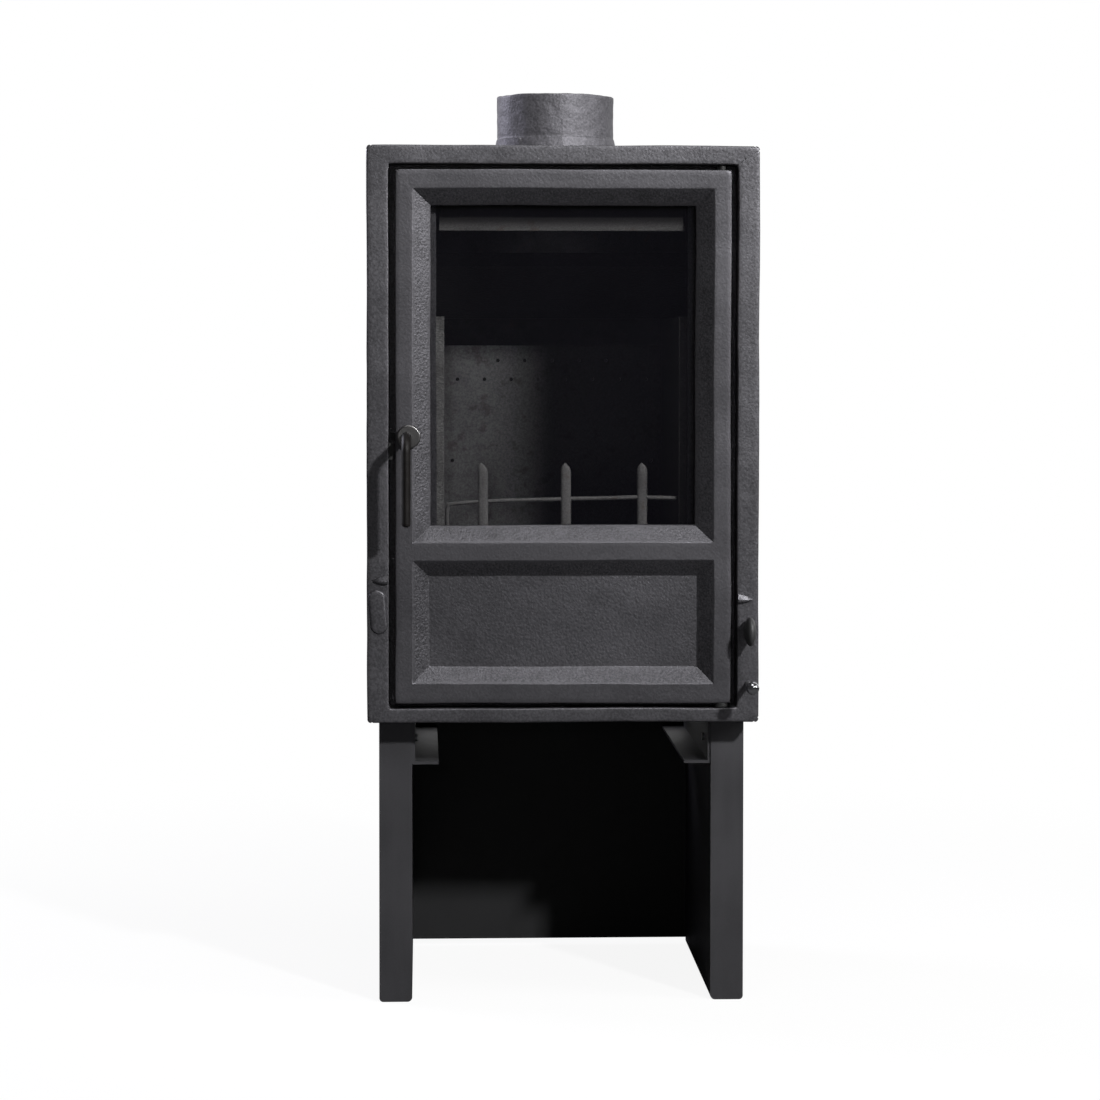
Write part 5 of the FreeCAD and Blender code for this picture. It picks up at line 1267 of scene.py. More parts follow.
@dataclass
class Door:
    """The door casting with its bevelled window and lower panel, its seals and its glass."""

    side_rim: float = 17.5 * MM
    top_rim: float = 19 * MM
    bottom_rim: float = 20 * MM
    mid_rail: float = 18 * MM
    window_bevel: tuple[float, float] = (18 * MM, 17 * MM)
    window_depth: float = 14 * MM
    panel_bevel: float = 16 * MM
    panel_height: float = 92 * MM
    panel_setback: float = 13 * MM
    panel_thickness: float = 6 * MM
    thickness: float = 24 * MM
    rebate_depth: float = 18 * MM
    rebate_play: float = 0.5 * MM
    groove_depth: float = 5 * MM
    groove_play: float = 0.2 * MM
    rope_width: float = 8 * MM
    edge: float = 1.5 * MM
    crease: float = 0.9 * MM
    panel_crease: float = 0.72 * MM
    step: float = 5 * MM
    corner_steps: int = 4
    edge_steps: int = 5
    boss_radius: float = 9.5 * MM
    boss_setback: float = 0.2 * MM
    boss_draft: float = 0.6 * MM
    boss_edge: float = 0.6 * MM
    boss_steps: int = 48
    slot_depths: tuple[float, float] = (11.5 * MM, 17.5 * MM)
    slot_heights: tuple[float, float] = (566 * MM, 598 * MM)
    slot_reach: float = 19.5 * MM
    rope_strands: int = 4
    strand_steps: int = 6
    rope_lay: float = 30 * MM
    rope_dip: float = 0.16
    rope_corner: float = 9 * MM
    rope_step: float = 1.4 * MM
    tape_width: float = 9 * MM
    tape_stitch: float = 5 * MM
    stitch_steps: int = 4
    tape_steps: int = 20
    tape_squareness: float = 0.45
    tape_ripple: float = 0.16 * MM
    tape_corner: float = 5 * MM
    wave: CastWave = CastWave(seed=8)

    def build(self, stove: Stove) -> None:
        """Make the casting and its seals, and dress what else it carries.

        Args:
            stove: The stove that the pieces are put on.
        """
        self.front = stove.front
        self.outer = Rectangle.facing(*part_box("door_casting"))
        rim = self.outer.side - self.side_rim
        panel_low = self.outer.low + self.bottom_rim
        panel_high = panel_low + self.panel_height + 2 * self.panel_bevel
        self.panel_rim = Rectangle(rim, panel_low, panel_high)
        self.window_rim = Rectangle(rim, panel_high + self.mid_rail, self.outer.high - self.top_rim)
        self.window = self.window_rim.inset(*self.window_bevel)
        self.panel = self.panel_rim.inset(self.panel_bevel)
        shell = Shell("door_casting_shell")
        shell.add(*self.face(), *self.edges(), *self.back(), *self.boss())
        stove.put(shell.built(self.wave), Body.DOOR, DOOR_PAINT, "door_casting")
        stove.put(Shell("rope_seal").add(self.rope()).built(), Body.DOOR, ROPE_FIBRE, "door_rope_seal")
        stove.put(Shell("glass_tape").add(self.tape()).built(), Body.DOOR, ROPE_FIBRE, "glass_gasket")
        stove.dress(WINDOW_GLASS, "door_glass")
        stove.dress(FIREBOX_STEEL, "glass_clips")
        stove.dress(PLAIN_STEEL, "glass_clip_screws")
        # The parts in the door's gaps get the near-black steel, as painted shade.
        stove.dress(GAP_SHADE_STEEL, "hinge_pins", "hinge_washer", "latch_keeper", "latch_tongue", "tongue_pin")

    def face_lines(self) -> tuple[np.ndarray, np.ndarray]:
        """The grid lines of the flat rim, through the outer edge, the bevels' edges and the latch slot.

        Returns:
            The lines across and the lines up.
        """
        flat = self.outer.inset(self.edge)
        window, panel = self.window_rim.inset(-self.crease), self.panel_rim.inset(-self.crease)
        across = lines((-flat.side, -window.side, window.side, flat.side), self.step)
        stops = (flat.low, panel.low, panel.high, *self.slot_heights, window.low, window.high, flat.high)
        return across, lines(stops, self.step)

    def face(self) -> list[Patch]:
        """The flat rim with its two bevelled hollows.

        Each hollow is a profile of inset and depth, with softened creases, carried round its rectangle, and
        the lower one ends in a flat panel.

        Returns:
            The patches of the front.
        """
        across, up = self.face_lines()
        window_hole, panel_hole = self.window_rim.inset(-self.crease), self.panel_rim.inset(-self.crease)
        rim = plate(across, up, self.front).pierced(window_hole, panel_hole)
        side, end = self.window_bevel
        profile = [(-self.crease, 0.0), (0.0, 0.0), (side, self.window_depth), (side, self.rebate_depth)]
        loops = [
            (self.window_rim.inset(x, x * end / side if x > 0 else x), self.front + y, 0.0)
            for x, y in spaced(softened(profile, self.crease), self.step)
        ]
        window = Ring.inside(window_hole, across, up).carried(loops)
        flat_start, setback = self.panel_bevel + self.crease, self.panel_setback
        profile = [(-self.crease, 0.0), (0.0, 0.0), (self.panel_bevel, setback), (flat_start, setback)]
        loops = [
            (self.panel_rim.inset(x), self.front + y, 0.0)
            for x, y in spaced(softened(profile, self.panel_crease), self.step)
        ]
        panel = Ring.inside(panel_hole, across, up).carried(loops)
        flat, hole = self.panel_rim.inset(flat_start), panel_hole
        panel_x = np.interp(
            within(across, -hole.side, hole.side), (-hole.side, hole.side), (-flat.side, flat.side)
        )
        panel_z = np.interp(within(up, hole.low, hole.high), (hole.low, hole.high), (flat.low, flat.high))
        return [rim, window, panel, plate(panel_x, panel_z, self.front + setback)]

    def edges(self) -> list[Patch]:
        """The softened outer edge and side of the door, with the latch slot in its left side.

        Returns:
            The patches of the side and of the slot.
        """
        across, up = self.face_lines()
        slot_front, slot_back = (self.front + depth for depth in self.slot_depths)
        first, last = self.front + self.edge, self.front + self.thickness
        depths = lines((first, slot_front, slot_back, last), self.step)
        over = [
            (
                self.outer.inset(self.edge * (1 - math.sin(a))),
                self.front + self.edge * (1 - math.cos(a)),
                self.edge * math.sin(a),
            )
            for a in quarter(self.edge_steps)
        ]
        loops = over + [(self.outer, depth, self.edge) for depth in depths[1:]]
        side = Ring.through(across, up, self.corner_steps).carried(loops)
        low, high = self.slot_heights
        reach = -self.outer.side + self.slot_reach
        side = side.without((-1, slot_front, low), (-self.outer.side + MM, slot_back, high))
        slot_y, slot_z = within(depths, slot_front, slot_back), self.side_heights(up, low, high)
        middle = np.array([(slot_front + slot_back) / 2, (low + high) / 2])
        half = np.array([(slot_back - slot_front) / 2, (high - low) / 2])
        flat = middle + Ring.through(slot_y, slot_z).base * half
        walls = np.stack([np.insert(flat, 0, x, axis=1) for x in (-self.outer.side, reach)])
        y, z = np.meshgrid(slot_y, slot_z, indexing="ij")
        end = np.stack([np.full_like(y, reach), y, z], axis=-1)
        return [side, Patch.grid(walls, closed_columns=True), Patch.grid(end)]

    def side_heights(self, up: np.ndarray, low: float, high: float) -> np.ndarray:
        """The heights of the slot's lines on the side, where the ring is taller than the flat rim.

        Args:
            up: The flat rim's lines.
            low: The slot's lower end.
            high: The slot's upper end.

        Returns:
            The heights.
        """
        flat = self.outer.inset(self.edge)
        taller = np.interp(up, (flat.low, flat.high), (self.outer.low, self.outer.high))
        first, last = np.searchsorted(up, (low - NEAR, high - NEAR))
        return taller[first : last + 1]

    def back(self) -> list[Patch]:
        """The back: a flat rim, the rope's groove, the glass rebate and the hollow behind the panel.

        Each is a profile of rectangle and depth carried round, and the flat between them is a plate with two
        holes on shared lines.

        Returns:
            The patches of the back.
        """
        across, up = self.face_lines()
        flat = self.front + self.thickness
        floor = flat - self.groove_depth
        rope = Rectangle.facing(*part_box("door_rope_seal"))
        groove_out = rope.inset(-self.groove_play)
        groove_in = rope.inset(self.rope_width + self.groove_play)
        rebate = Rectangle.facing(*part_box("door_glass")).inset(-self.rebate_play)
        loops = [(self.outer, flat, self.edge)]
        loops += [(between(self.outer, groove_out, t), flat, 0.0) for t in (0.5, 1.0)]
        loops += [(groove_out, floor, 0.0), (groove_in, floor, 0.0), (groove_in, flat, 0.0)]
        boxes = (groove_in, rebate, self.panel)
        inner_x = lines([sign * box.side for box in boxes for sign in (-1, 1)], self.step)
        inner_z = lines([end for box in boxes for end in (box.low, box.high)], self.step)
        rebate_floor = self.front + self.rebate_depth
        rebate_loops = [(rebate, flat, 0.0), (rebate, rebate_floor, 0.0), (self.window, rebate_floor, 0.0)]
        hollow_floor = self.front + self.panel_setback + self.panel_thickness
        hollow_loops = [(self.panel, flat, 0.0), (self.panel, hollow_floor, 0.0)]
        hollow_x = within(inner_x, -self.panel.side, self.panel.side)
        hollow_z = within(inner_z, self.panel.low, self.panel.high)
        return [
            Ring.through(across, up, self.corner_steps).carried(loops[:5]),
            Ring.through(inner_x, inner_z).carried(loops[4:]),
            plate(inner_x, inner_z, flat).pierced(rebate, self.panel),
            Ring.inside(rebate, inner_x, inner_z).carried(rebate_loops),
            Ring.inside(self.panel, inner_x, inner_z).carried(hollow_loops),
            plate(hollow_x, hollow_z, hollow_floor),
        ]

    def rope(self) -> Patch:
        """The rope seal in its groove: an oval section whose radius dips between twisted strands.

        At angle a and distance s the radius is the oval's times 1 - dip * (1 - |cos(strands * twist / 2)|),
        where the twist is a - 2 pi s / lay.

        Returns:
            The closed patch.
        """
        low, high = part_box("door_rope_seal")
        middle = Rectangle.facing(low, high).inset(self.rope_width / 2)
        way = Way.encircling(middle, self.rope_corner, (low.y + high.y) / 2, self.rope_step)
        turns = round(way.length / self.rope_lay)
        angle = around(self.strand_steps * self.rope_strands)[None]
        twist = angle - 2 * math.pi * turns * way.distance[:, None] / way.length
        radius = 1 - self.rope_dip * (1 - np.abs(np.cos(self.rope_strands * twist / 2)))
        across = self.rope_width / 2 * radius * np.cos(angle)
        deep = (high.y - low.y) / 2 * radius * np.sin(angle)
        return Patch.grid(way.carried(across, deep), closed_rows=True, closed_columns=True)

    def tape(self) -> Patch:
        """The flat tape under the glass: a squarish section with slanted stitches rippling its faces.

        At distance s half the thickness is less by ripple / 2 * (1 - cos(2 pi (s + across) / stitch)).

        Returns:
            The closed patch.
        """
        low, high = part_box("glass_gasket")
        middle = Rectangle.facing(low, high).inset(self.tape_width / 2)
        step = self.tape_stitch / self.stitch_steps
        way = Way.encircling(middle, self.tape_corner, (low.y + high.y) / 2, step)
        cosine, sine = squarish(around(self.tape_steps)[None], self.tape_squareness)
        stitches = round(way.length / self.tape_stitch)
        across = np.broadcast_to(self.tape_width / 2 * cosine, (len(way.points), cosine.shape[1]))
        slant = stitches * way.distance[:, None] / way.length + across / self.tape_stitch
        thick = (high.y - low.y) / 2 - self.tape_ripple * (0.5 - 0.5 * np.cos(2 * math.pi * slant))
        return Patch.grid(way.carried(across, thick * sine), closed_rows=True, closed_columns=True)

    def boss(self) -> list[Patch]:
        """The round boss that carries the rosette across the window's bevel.

        Returns:
            The closed patch, in a list.
        """
        centre = upright_middle(*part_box("handle_rosette"), self.front)
        start, end = self.boss_setback, self.window_depth
        foot = self.boss_radius + self.boss_draft
        outline = [(0.0, start), (self.boss_radius, start), (foot, end), (0.0, end)]
        return [turned(softened(outline, self.boss_edge), centre, Axis.Y, self.boss_steps)]


@dataclass
class Handle:
    """The bent lever and the rosette that it turns in."""

    bend: float = 13 * MM
    tip: float = 3 * MM
    depth_ratio: float = 1.45
    step: float = 1.5 * MM
    bend_steps: int = 15
    rod_steps: int = 32
    rosette_edge: float = 1.6 * MM
    rosette_play: float = 0.3 * MM
    rosette_steps: int = 72
    edge_steps: int = 7
    face_steps: int = 6

    def build(self, stove: Stove) -> None:
        """Make the lever and the rosette.

        Args:
            stove: The stove that the pieces are put on.
        """
        low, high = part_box("handle_lever")
        self.radius = (high.x - low.x) / 2
        self.spindle = Vector(((low.x + high.x) / 2, 0, high.z - self.radius))
        lever = Shell("lever_rod").add(self.lever(low, high))
        stove.put(lever.built(), Body.HANDLE, LEVER_BRONZE, "handle_lever")
        rosette = Shell("rosette_disc").add(self.rosette())
        stove.put(rosette.built(), Body.DOOR, ROSETTE_NICKEL, "handle_rosette")

    def lever(self, low: Vector, high: Vector) -> Patch:
        """A rod carried out from the spindle, round its bend and down, with ends rounded like a quarter oval.

        At a distance d from an end the radius is radius - tip + tip * sqrt(1 - (1 - d / tip)^2). Round the
        bend the section goes from a circle to an oval that is deeper than it is wide.

        Args:
            low: The lowest corner of the rod's box.
            high: The highest corner of the rod's box.

        Returns:
            The closed patch.
        """
        plumb = low.y + self.radius
        angle = quarter(self.bend_steps)
        forward, down = self.bend * (1 - np.sin(angle)), self.bend * (1 - np.cos(angle))
        arc = np.stack([plumb + forward, self.spindle.z - down], axis=1)
        line = spaced(np.vstack([[high.y, self.spindle.z], arc, [plumb, low.z]]), self.step)
        points = np.insert(line, 0, self.spindle.x, axis=1)
        way = Way.through(points, (1.0, 0.0, 0.0))
        left = np.minimum(way.distance, way.length - way.distance)
        share = np.clip(left / self.tip, 0, 1)
        radius = (self.radius - self.tip + self.tip * np.sqrt(1 - (1 - share) ** 2))[:, None]
        straight = high.y - plumb - self.bend
        bent = np.clip((way.distance - straight) / (math.pi / 2 * self.bend), 0, 1)[:, None]
        depth = radius * (1 + (self.depth_ratio - 1) * bent)
        turn = around(self.rod_steps)[None]
        return way.closed(radius * np.cos(turn), depth * np.sin(turn))

    def rosette(self) -> Patch:
        """A disc with a softened edge and an off-centre bore.

        It is a row of circles whose centres and radii go from the rim to the bore.

        Returns:
            The closed patch.
        """
        low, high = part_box("handle_rosette")
        outer = (high.x - low.x) / 2
        inner = self.radius + self.rosette_play
        edge = self.rosette_edge
        rim = [
            (0.0, outer - edge * (1 - math.cos(a)), low.y + edge * (1 - math.sin(a)))
            for a in quarter(self.edge_steps)
        ]
        inward = np.linspace(0, 1, self.face_steps)[1:]
        face = [(t, (1 - t) * (outer - edge) + t * inner, low.y) for t in inward]
        loops = np.array([(0.0, outer, high.y), *rim, *face, (1.0, inner, high.y)])
        share, radius, depth = (loops[:, count, None] for count in range(3))
        turn = around(self.rosette_steps)[None]
        middle = upright_middle(low, high)
        x = (1 - share) * middle.x + share * self.spindle.x + radius * np.cos(turn)
        z = (1 - share) * middle.z + share * self.spindle.z + radius * np.sin(turn)
        grid = np.stack([x, np.broadcast_to(depth, x.shape), z], axis=-1)
        return Patch.grid(grid, closed_rows=True, closed_columns=True)


@dataclass
class AirKnobs:
    """The bright ball of the lower air slide and the dark oval of the upper one."""

    neck_radius: float = 4 * MM
    neck_groove: float = 0.4 * MM
    groove_marks: tuple[float, float, float] = (0.2 * MM, 0.5 * MM, 0.7 * MM)
    nose: float = 15 * MM
    nose_power: float = 2.3
    tail: float = 0.82
    tail_edge: float = 2.5 * MM
    step: float = 2 * MM
    round_steps: int = 56
    ball_steps: int = 40
    nose_steps: int = 22
    edge_steps: int = 6

    def build(self, stove: Stove) -> None:
        """Make both knobs.

        Args:
            stove: The stove that the pieces are put on.
        """
        ball = Shell("ball_knob").add(self.ball(*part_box("primary_air_knob")))
        stove.put(ball.built(), Body.PRIMARY, BALL_CHROME, "primary_air_knob")
        oval = Shell("oval_knob").add(self.oval(*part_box("secondary_air_knob")))
        stove.put(oval.built(), Body.SECONDARY, KNOB_BLACK, "secondary_air_knob")

    def ball(self, low: Vector, high: Vector) -> Patch:
        """A ball turned in one with its neck, with a fine groove where they meet.

        Args:
            low: The lowest corner of the knob's box.
            high: The highest corner of the knob's box.

        Returns:
            The closed patch.
        """
        radius = (high.x - low.x) / 2
        meeting = math.pi - math.asin(self.neck_radius / radius)
        angle = np.linspace(0, meeting, self.ball_steps)
        round_part = np.stack([radius * np.sin(angle), low.y + radius * (1 - np.cos(angle))], axis=1)
        start = round_part[-1, 1]
        groove = self.neck_radius - self.neck_groove
        narrow, level, wide = (start + mark for mark in self.groove_marks)
        neck = [
            (groove, narrow),
            (groove, level),
            (self.neck_radius, wide),
            (self.neck_radius, high.y),
            (0.0, high.y),
        ]
        outline = np.vstack([round_part, neck])
        return turned(outline, upright_middle(low, high), Axis.Y, self.round_steps)

    def oval(self, low: Vector, high: Vector) -> Patch:
        """An egg pulled upright, with a slow taper and a softened back edge.

        Over the nose's share u of its length the radius is the half width times (1 - (1 - u)^p)^(1 / p), for
        the nose's power p.

        Args:
            low: The lowest corner of the knob's box.
            high: The highest corner of the knob's box.

        Returns:
            The closed patch.
        """
        half, power = (high.x - low.x) / 2, self.nose_power
        share = 1 - np.cos(quarter(self.nose_steps))
        nose = np.stack([half * (1 - (1 - share) ** power) ** (1 / power), low.y + self.nose * share], axis=1)
        edge = quarter(self.edge_steps)
        tail_radius = half * self.tail - self.tail_edge * (1 - np.cos(edge))
        tail = np.stack([tail_radius, high.y - self.tail_edge * (1 - np.sin(edge))], axis=1)
        taper = spaced(np.vstack([nose[-1:], tail[:1]]), self.step)[1:-1]
        outline = np.vstack([nose, taper, tail, [[0.0, high.y]]])
        squash = (high.z - low.z) / (high.x - low.x)
        return turned(outline, upright_middle(low, high), Axis.Y, self.round_steps, squash)


@dataclass
class LogFence:
    """The cast fence behind the window: a base, three pointed bars and a thin, slightly bent rail."""

    bar_places: tuple[float, ...] = (-80 * MM, 4.5 * MM, 82.5 * MM)
    bar_width: float = 10.5 * MM
    bar_flare: float = 2.5 * MM
    bar_depth: float = 6.5 * MM
    bar_squareness: float = 0.7
    tip_height: float = 9.5 * MM
    tip_leans: tuple[float, ...] = (-2.2 * MM, -0.9 * MM, -0.4 * MM)
    tip_end: float = 0.2 * MM
    flare_reach: float = 9 * MM
    base_height: float = 10 * MM
    base_squareness: float = 0.4
    base_steps: int = 60
    rail_height: float = 62 * MM
    rail_radius: float = 2.1 * MM
    rail_stops: tuple[float, ...] = (-117 * MM, -80 * MM, 4.5 * MM, 82.5 * MM, 118 * MM)
    rail_rises: tuple[float, ...] = (-5.5 * MM, -2.5 * MM, 0.2 * MM, 1.6 * MM, 0.4 * MM)
    rail_bend: float = 6 * MM
    rail_step: float = 3 * MM
    rail_taper: float = 3 * MM
    rail_thinning: float = 0.25
    rail_steps: int = 16
    bend_steps: int = 7
    leg_overlap: tuple[float, float] = (9 * MM, 0.8 * MM)
    leg_turn: tuple[float, float] = (0.4 * MM, -0.4 * MM)
    leg_foot: tuple[float, float] = (1 * MM, 5 * MM)
    step: float = 2 * MM
    round_steps: int = 24
    wave: CastWave = CastWave(0.12 * MM)

    def build(self, stove: Stove) -> None:
        """Make the fence.

        Args:
            stove: The stove that the pieces are put on.
        """
        low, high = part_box("log_fence")
        self.low, self.high = low, high
        self.depth = (low.y + high.y) / 2
        shell = Shell("log_fence_casting").add(self.base(), self.rail(), self.leg())
        for place, lean in zip(self.bar_places, self.tip_leans):
            shell.add(self.bar(place, lean))
        stove.put(shell.built(self.wave), Body.FENCE, FENCE_IRON, "log_fence")

    def bar(self, place: float, lean: float) -> Patch:
        """A pointed bar: a squarish section that flares at its foot and narrows to a leaning tip.

        The half width is width / 2 * (1 - u^2.5) over the tip's height share u, plus the flare, which falls
        off as exp(-h / reach) with the height h above the base. Half the depth is
        depth / 2 * (1 - 0.7 u^1.5), and the middle moves by lean * u^1.3.

        Args:
            place: The X of the bar.
            lean: How far its tip leans along X.

        Returns:
            The closed patch.
        """
        tip_start = self.high.z - self.tip_height
        height = lines((self.low.z, tip_start, self.high.z - self.tip_end), self.step)
        tip = np.clip((height - self.high.z + self.tip_height) / self.tip_height, 0, 1)
        rise = np.maximum(height - self.low.z - self.base_height, 0)
        half = self.bar_width / 2 * (1 - tip**2.5) + self.bar_flare / 2 * np.exp(-rise / self.flare_reach)
        deep = self.bar_depth / 2 * (1 - 0.7 * tip**1.5)
        points = np.stack([place + lean * tip**1.3, np.full_like(height, self.depth), height], axis=1)
        cosine, sine = squarish(around(self.round_steps)[None], self.bar_squareness)
        return Way.through(points, (1.0, 0.0, 0.0)).closed(half[:, None] * cosine, deep[:, None] * sine)

    def base(self) -> Patch:
        """The base: a squarish section carried from side to side.

        Returns:
            The closed patch.
        """
        x = np.linspace(self.low.x, self.high.x, self.base_steps)
        middle = self.low.z + self.base_height / 2
        points = np.stack([x, np.full_like(x, self.depth), np.full_like(x, middle)], axis=1)
        cosine, sine = squarish(around(self.round_steps)[None], self.base_squareness)
        deep = np.broadcast_to((self.high.y - self.low.y) / 2 * cosine, (len(x), self.round_steps))
        tall = np.broadcast_to(self.base_height / 2 * sine, deep.shape)
        return Way.through(points, (0.0, 1.0, 0.0)).closed(deep, tall)

    def rod(self, outline: np.ndarray) -> Patch:
        """A thin rod along an outline of X and Z, a little thinner towards its ends.

        Args:
            outline: Rows of X and Z.

        Returns:
            The closed patch.
        """
        line = spaced(softened(outline, self.rail_bend, self.bend_steps), self.rail_step)
        way = Way.through(np.insert(line, 1, self.depth, axis=1), (0.0, 1.0, 0.0))
        inside = np.clip(np.minimum(way.distance, way.length - way.distance) / self.rail_taper, 0, 1)
        thickness = (1 - self.rail_thinning) + self.rail_thinning * inside
        radius = (self.rail_radius * thickness)[:, None]
        turn = around(self.rail_steps)[None]
        return way.closed(radius * np.cos(turn), radius * np.sin(turn))

    def rail(self) -> Patch:
        """The rail, through its stops with a small rise at each."""
        rises = self.low.z + self.rail_height + np.array(self.rail_rises)
        return self.rod(np.stack([np.array(self.rail_stops), rises], axis=1))

    def leg(self) -> Patch:
        """The leg at the rail's left end, curving down to the base.

        Returns:
            The closed patch.
        """
        start = self.rail_stops[0]
        top = self.low.z + self.rail_height + self.rail_rises[0]
        ends = ((start, top), (start, top), (start, self.low.z))
        return self.rod(np.array(ends) + np.array((self.leg_overlap, self.leg_turn, self.leg_foot)))


@dataclass
class FlueCollar:
    """The cast collar that takes the flue pipe, with its flared base and parting seam."""

    bore: float = 112 * MM
    base_height: float = 17.5 * MM
    wall_setback: float = 3 * MM
    foot_height: float = 5 * MM
    draft: float = 0.4 * MM
    lip: tuple[float, float] = (0.7 * MM, 1.2 * MM)
    seam_dip: float = 0.1 * MM
    seam_rise: float = 3 * MM
    edge: float = 1.1 * MM
    edge_steps: int = 4
    step: float = 2 * MM
    round_steps: int = 240
    wave: CastWave = CastWave(0.22 * MM, (0.08, 0.04, 0.021, 0.012), falling=0.75, seed=3)
    pad_angles: tuple[float, float] = (math.radians(192), math.radians(234))
    pad_slope: float = math.radians(1.5)
    pad_setback: float = 0.8 * MM
    pad_drop: float = 1 * MM
    wall_skin: float = 2 * MM
    gasket_edge: float = 0.5 * MM
    gasket_round: float = 0.3 * MM
    gasket_steps: int = 160
    gasket_wave: CastWave = CastWave(0.1 * MM)

    def build(self, stove: Stove) -> None:
        """Make the collar and its gasket.

        Args:
            stove: The stove that the pieces are put on.
        """
        low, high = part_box("flue_collar")
        centre = Vector(((low.x + high.x) / 2, (low.y + high.y) / 2, 0))
        base_radius = (high.x - low.x) / 2
        wall_radius = base_radius - self.wall_setback
        lip_out, lip_down = self.lip
        seam = low.z + self.base_height
        inner = self.bore / 2
        outline = [
            (inner, low.z),
            (base_radius, low.z),
            (base_radius - self.draft, low.z + self.foot_height),
            (wall_radius + lip_out, seam - lip_down),
            (wall_radius - self.seam_dip, seam),
            (wall_radius, seam + self.seam_rise),
            (wall_radius - self.draft, high.z),
            (inner, high.z),
            (inner, low.z),
        ]
        section = spaced(softened(outline, self.edge, self.edge_steps), self.step)
        plain = turned(section, centre, Axis.Z, self.round_steps)
        casting = self.padded(plain, centre, base_radius, seam)
        collar = Shell("flue_collar_casting").add(casting)
        stove.put(collar.built(self.wave), Body.STOVE, COLLAR_PAINT, "flue_collar")
        low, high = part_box("collar_gasket")
        edge_radius = base_radius - self.gasket_edge
        outline = [
            (inner, low.z),
            (edge_radius, low.z),
            (base_radius, (low.z + high.z) / 2),
            (edge_radius, high.z),
            (inner, high.z),
            (inner, low.z),
        ]
        ring = turned(softened(outline, self.gasket_round), centre, Axis.Z, self.gasket_steps)
        gasket = Shell("collar_gasket_ring").add(ring)
        stove.put(gasket.built(self.gasket_wave), Body.STOVE, ROPE_FIBRE, "collar_gasket")

    def padded(self, patch: Patch, centre: Vector, base_radius: float, seam: float) -> Patch:
        """Raise a smooth pad on the flared base.

        Between two angles and below the seam, points outside the wall move out to near the largest radius.

        Args:
            patch: The turned collar.
            centre: A point on its axis.
            base_radius: The largest radius.
            seam: The Z of the seam.

        Returns:
            The patch with its pad.
        """
        flat = patch.points[:, :2] - np.array(centre)[:2]
        reach = np.linalg.norm(flat, axis=1)
        angle = np.arctan2(flat[:, 1], flat[:, 0]) % (2 * math.pi)
        first, last = self.pad_angles
        inside = np.clip(np.minimum(angle - first, last - angle) / self.pad_slope, 0, 1)
        outside = (reach > self.bore / 2 + self.wall_skin) & (patch.points[:, 2] < seam - self.pad_drop)
        target = np.where(outside, np.maximum(reach, base_radius - self.pad_setback), reach)
        grown = reach + inside * (target - reach)
        points = patch.points.copy()
        points[:, :2] += flat * (grown / reach - 1)[:, None]
        return Patch(points, patch.faces)


@dataclass
class Casing:
    """The sheet casing, the stand and the inside of the stove, dressed as they are."""

    def build(self, stove: Stove) -> None:
        """Dress the CAD nodes.

        Args:
            stove: The stove whose nodes are dressed.
        """
        stove.dress(
            SHEET_PAINT,
            "left_side_panel",
            "right_side_panel",
            "back_panel",
            "base_plate",
            "stand_left_side",
            "stand_right_side",
            "stand_bearers",
            "left_shelf_rail",
            "right_shelf_rail",
        )
        stove.dress(TOP_PAINT, "top_plate")
        # The stand's back panel gets the near-black copy of the sheet paint, as painted shade.
        stove.dress(SHADE_DARK_BACK_PAINT, "stand_back_panel")
        stove.dress(BARE_CASTING, "grate", "firebox_floor")
        stove.dress(AIR_PLATE_IRON, "rear_air_plate")
        stove.dress(AIRWASH_STEEL, "airwash_plate")
        stove.dress(
            FIREBOX_STEEL,
            "firebox_left_wall",
            "firebox_right_wall",
            "firebox_back_wall",
            "ash_shelf",
            "air_slide_guides",
            "ash_pan",
            "ash_pan_grip",
            "primary_air_slide",
            "secondary_air_slide",
        )
        stove.dress(FIRE_BOARD, "left_lining")
        # The right lining gets the darker copy of the board, as painted shade.
        stove.dress(SHADE_SIDE_BOARD, "right_lining")
        # The baffle gets the near-black copy of the board, as painted shade.
        stove.dress(SHADE_BLACK_BOARD, "baffle_plate")
        stove.dress(
            PLAIN_STEEL,
            "tie_rods",
            "tie_rod_nuts",
            "collar_screws",
            "keeper_screws",
            "rail_screws",
            "stand_bolts",
            "stand_panel_screws",
            "airwash_screws",
            "primary_air_rod",
            "secondary_air_rod",
        )


# The studio


@dataclass(frozen=True)
class Lamp:
    """A soft square lamp that looks at the stove."""

    name: str
    place: Point
    size: float
    power: float
    target: Point = (0.0, 0.0, 0.5)
    spread: float = math.pi
    colour: Colour = (1.0, 1.0, 1.0)

    def build(self) -> None:
        """Add the lamp to the scene."""
        light = bpy.data.lights.new(self.name, "AREA")
        light.size = self.size
        light.energy = self.power
        light.spread = self.spread
        light.color = self.colour
        lamp = bpy.data.objects.new(self.name, light)
        lamp.location = self.place
        way = Vector(self.target) - Vector(self.place)
        lamp.rotation_euler = way.to_track_quat("-Z", "Y").to_euler()
        bpy.context.scene.collection.objects.link(lamp)


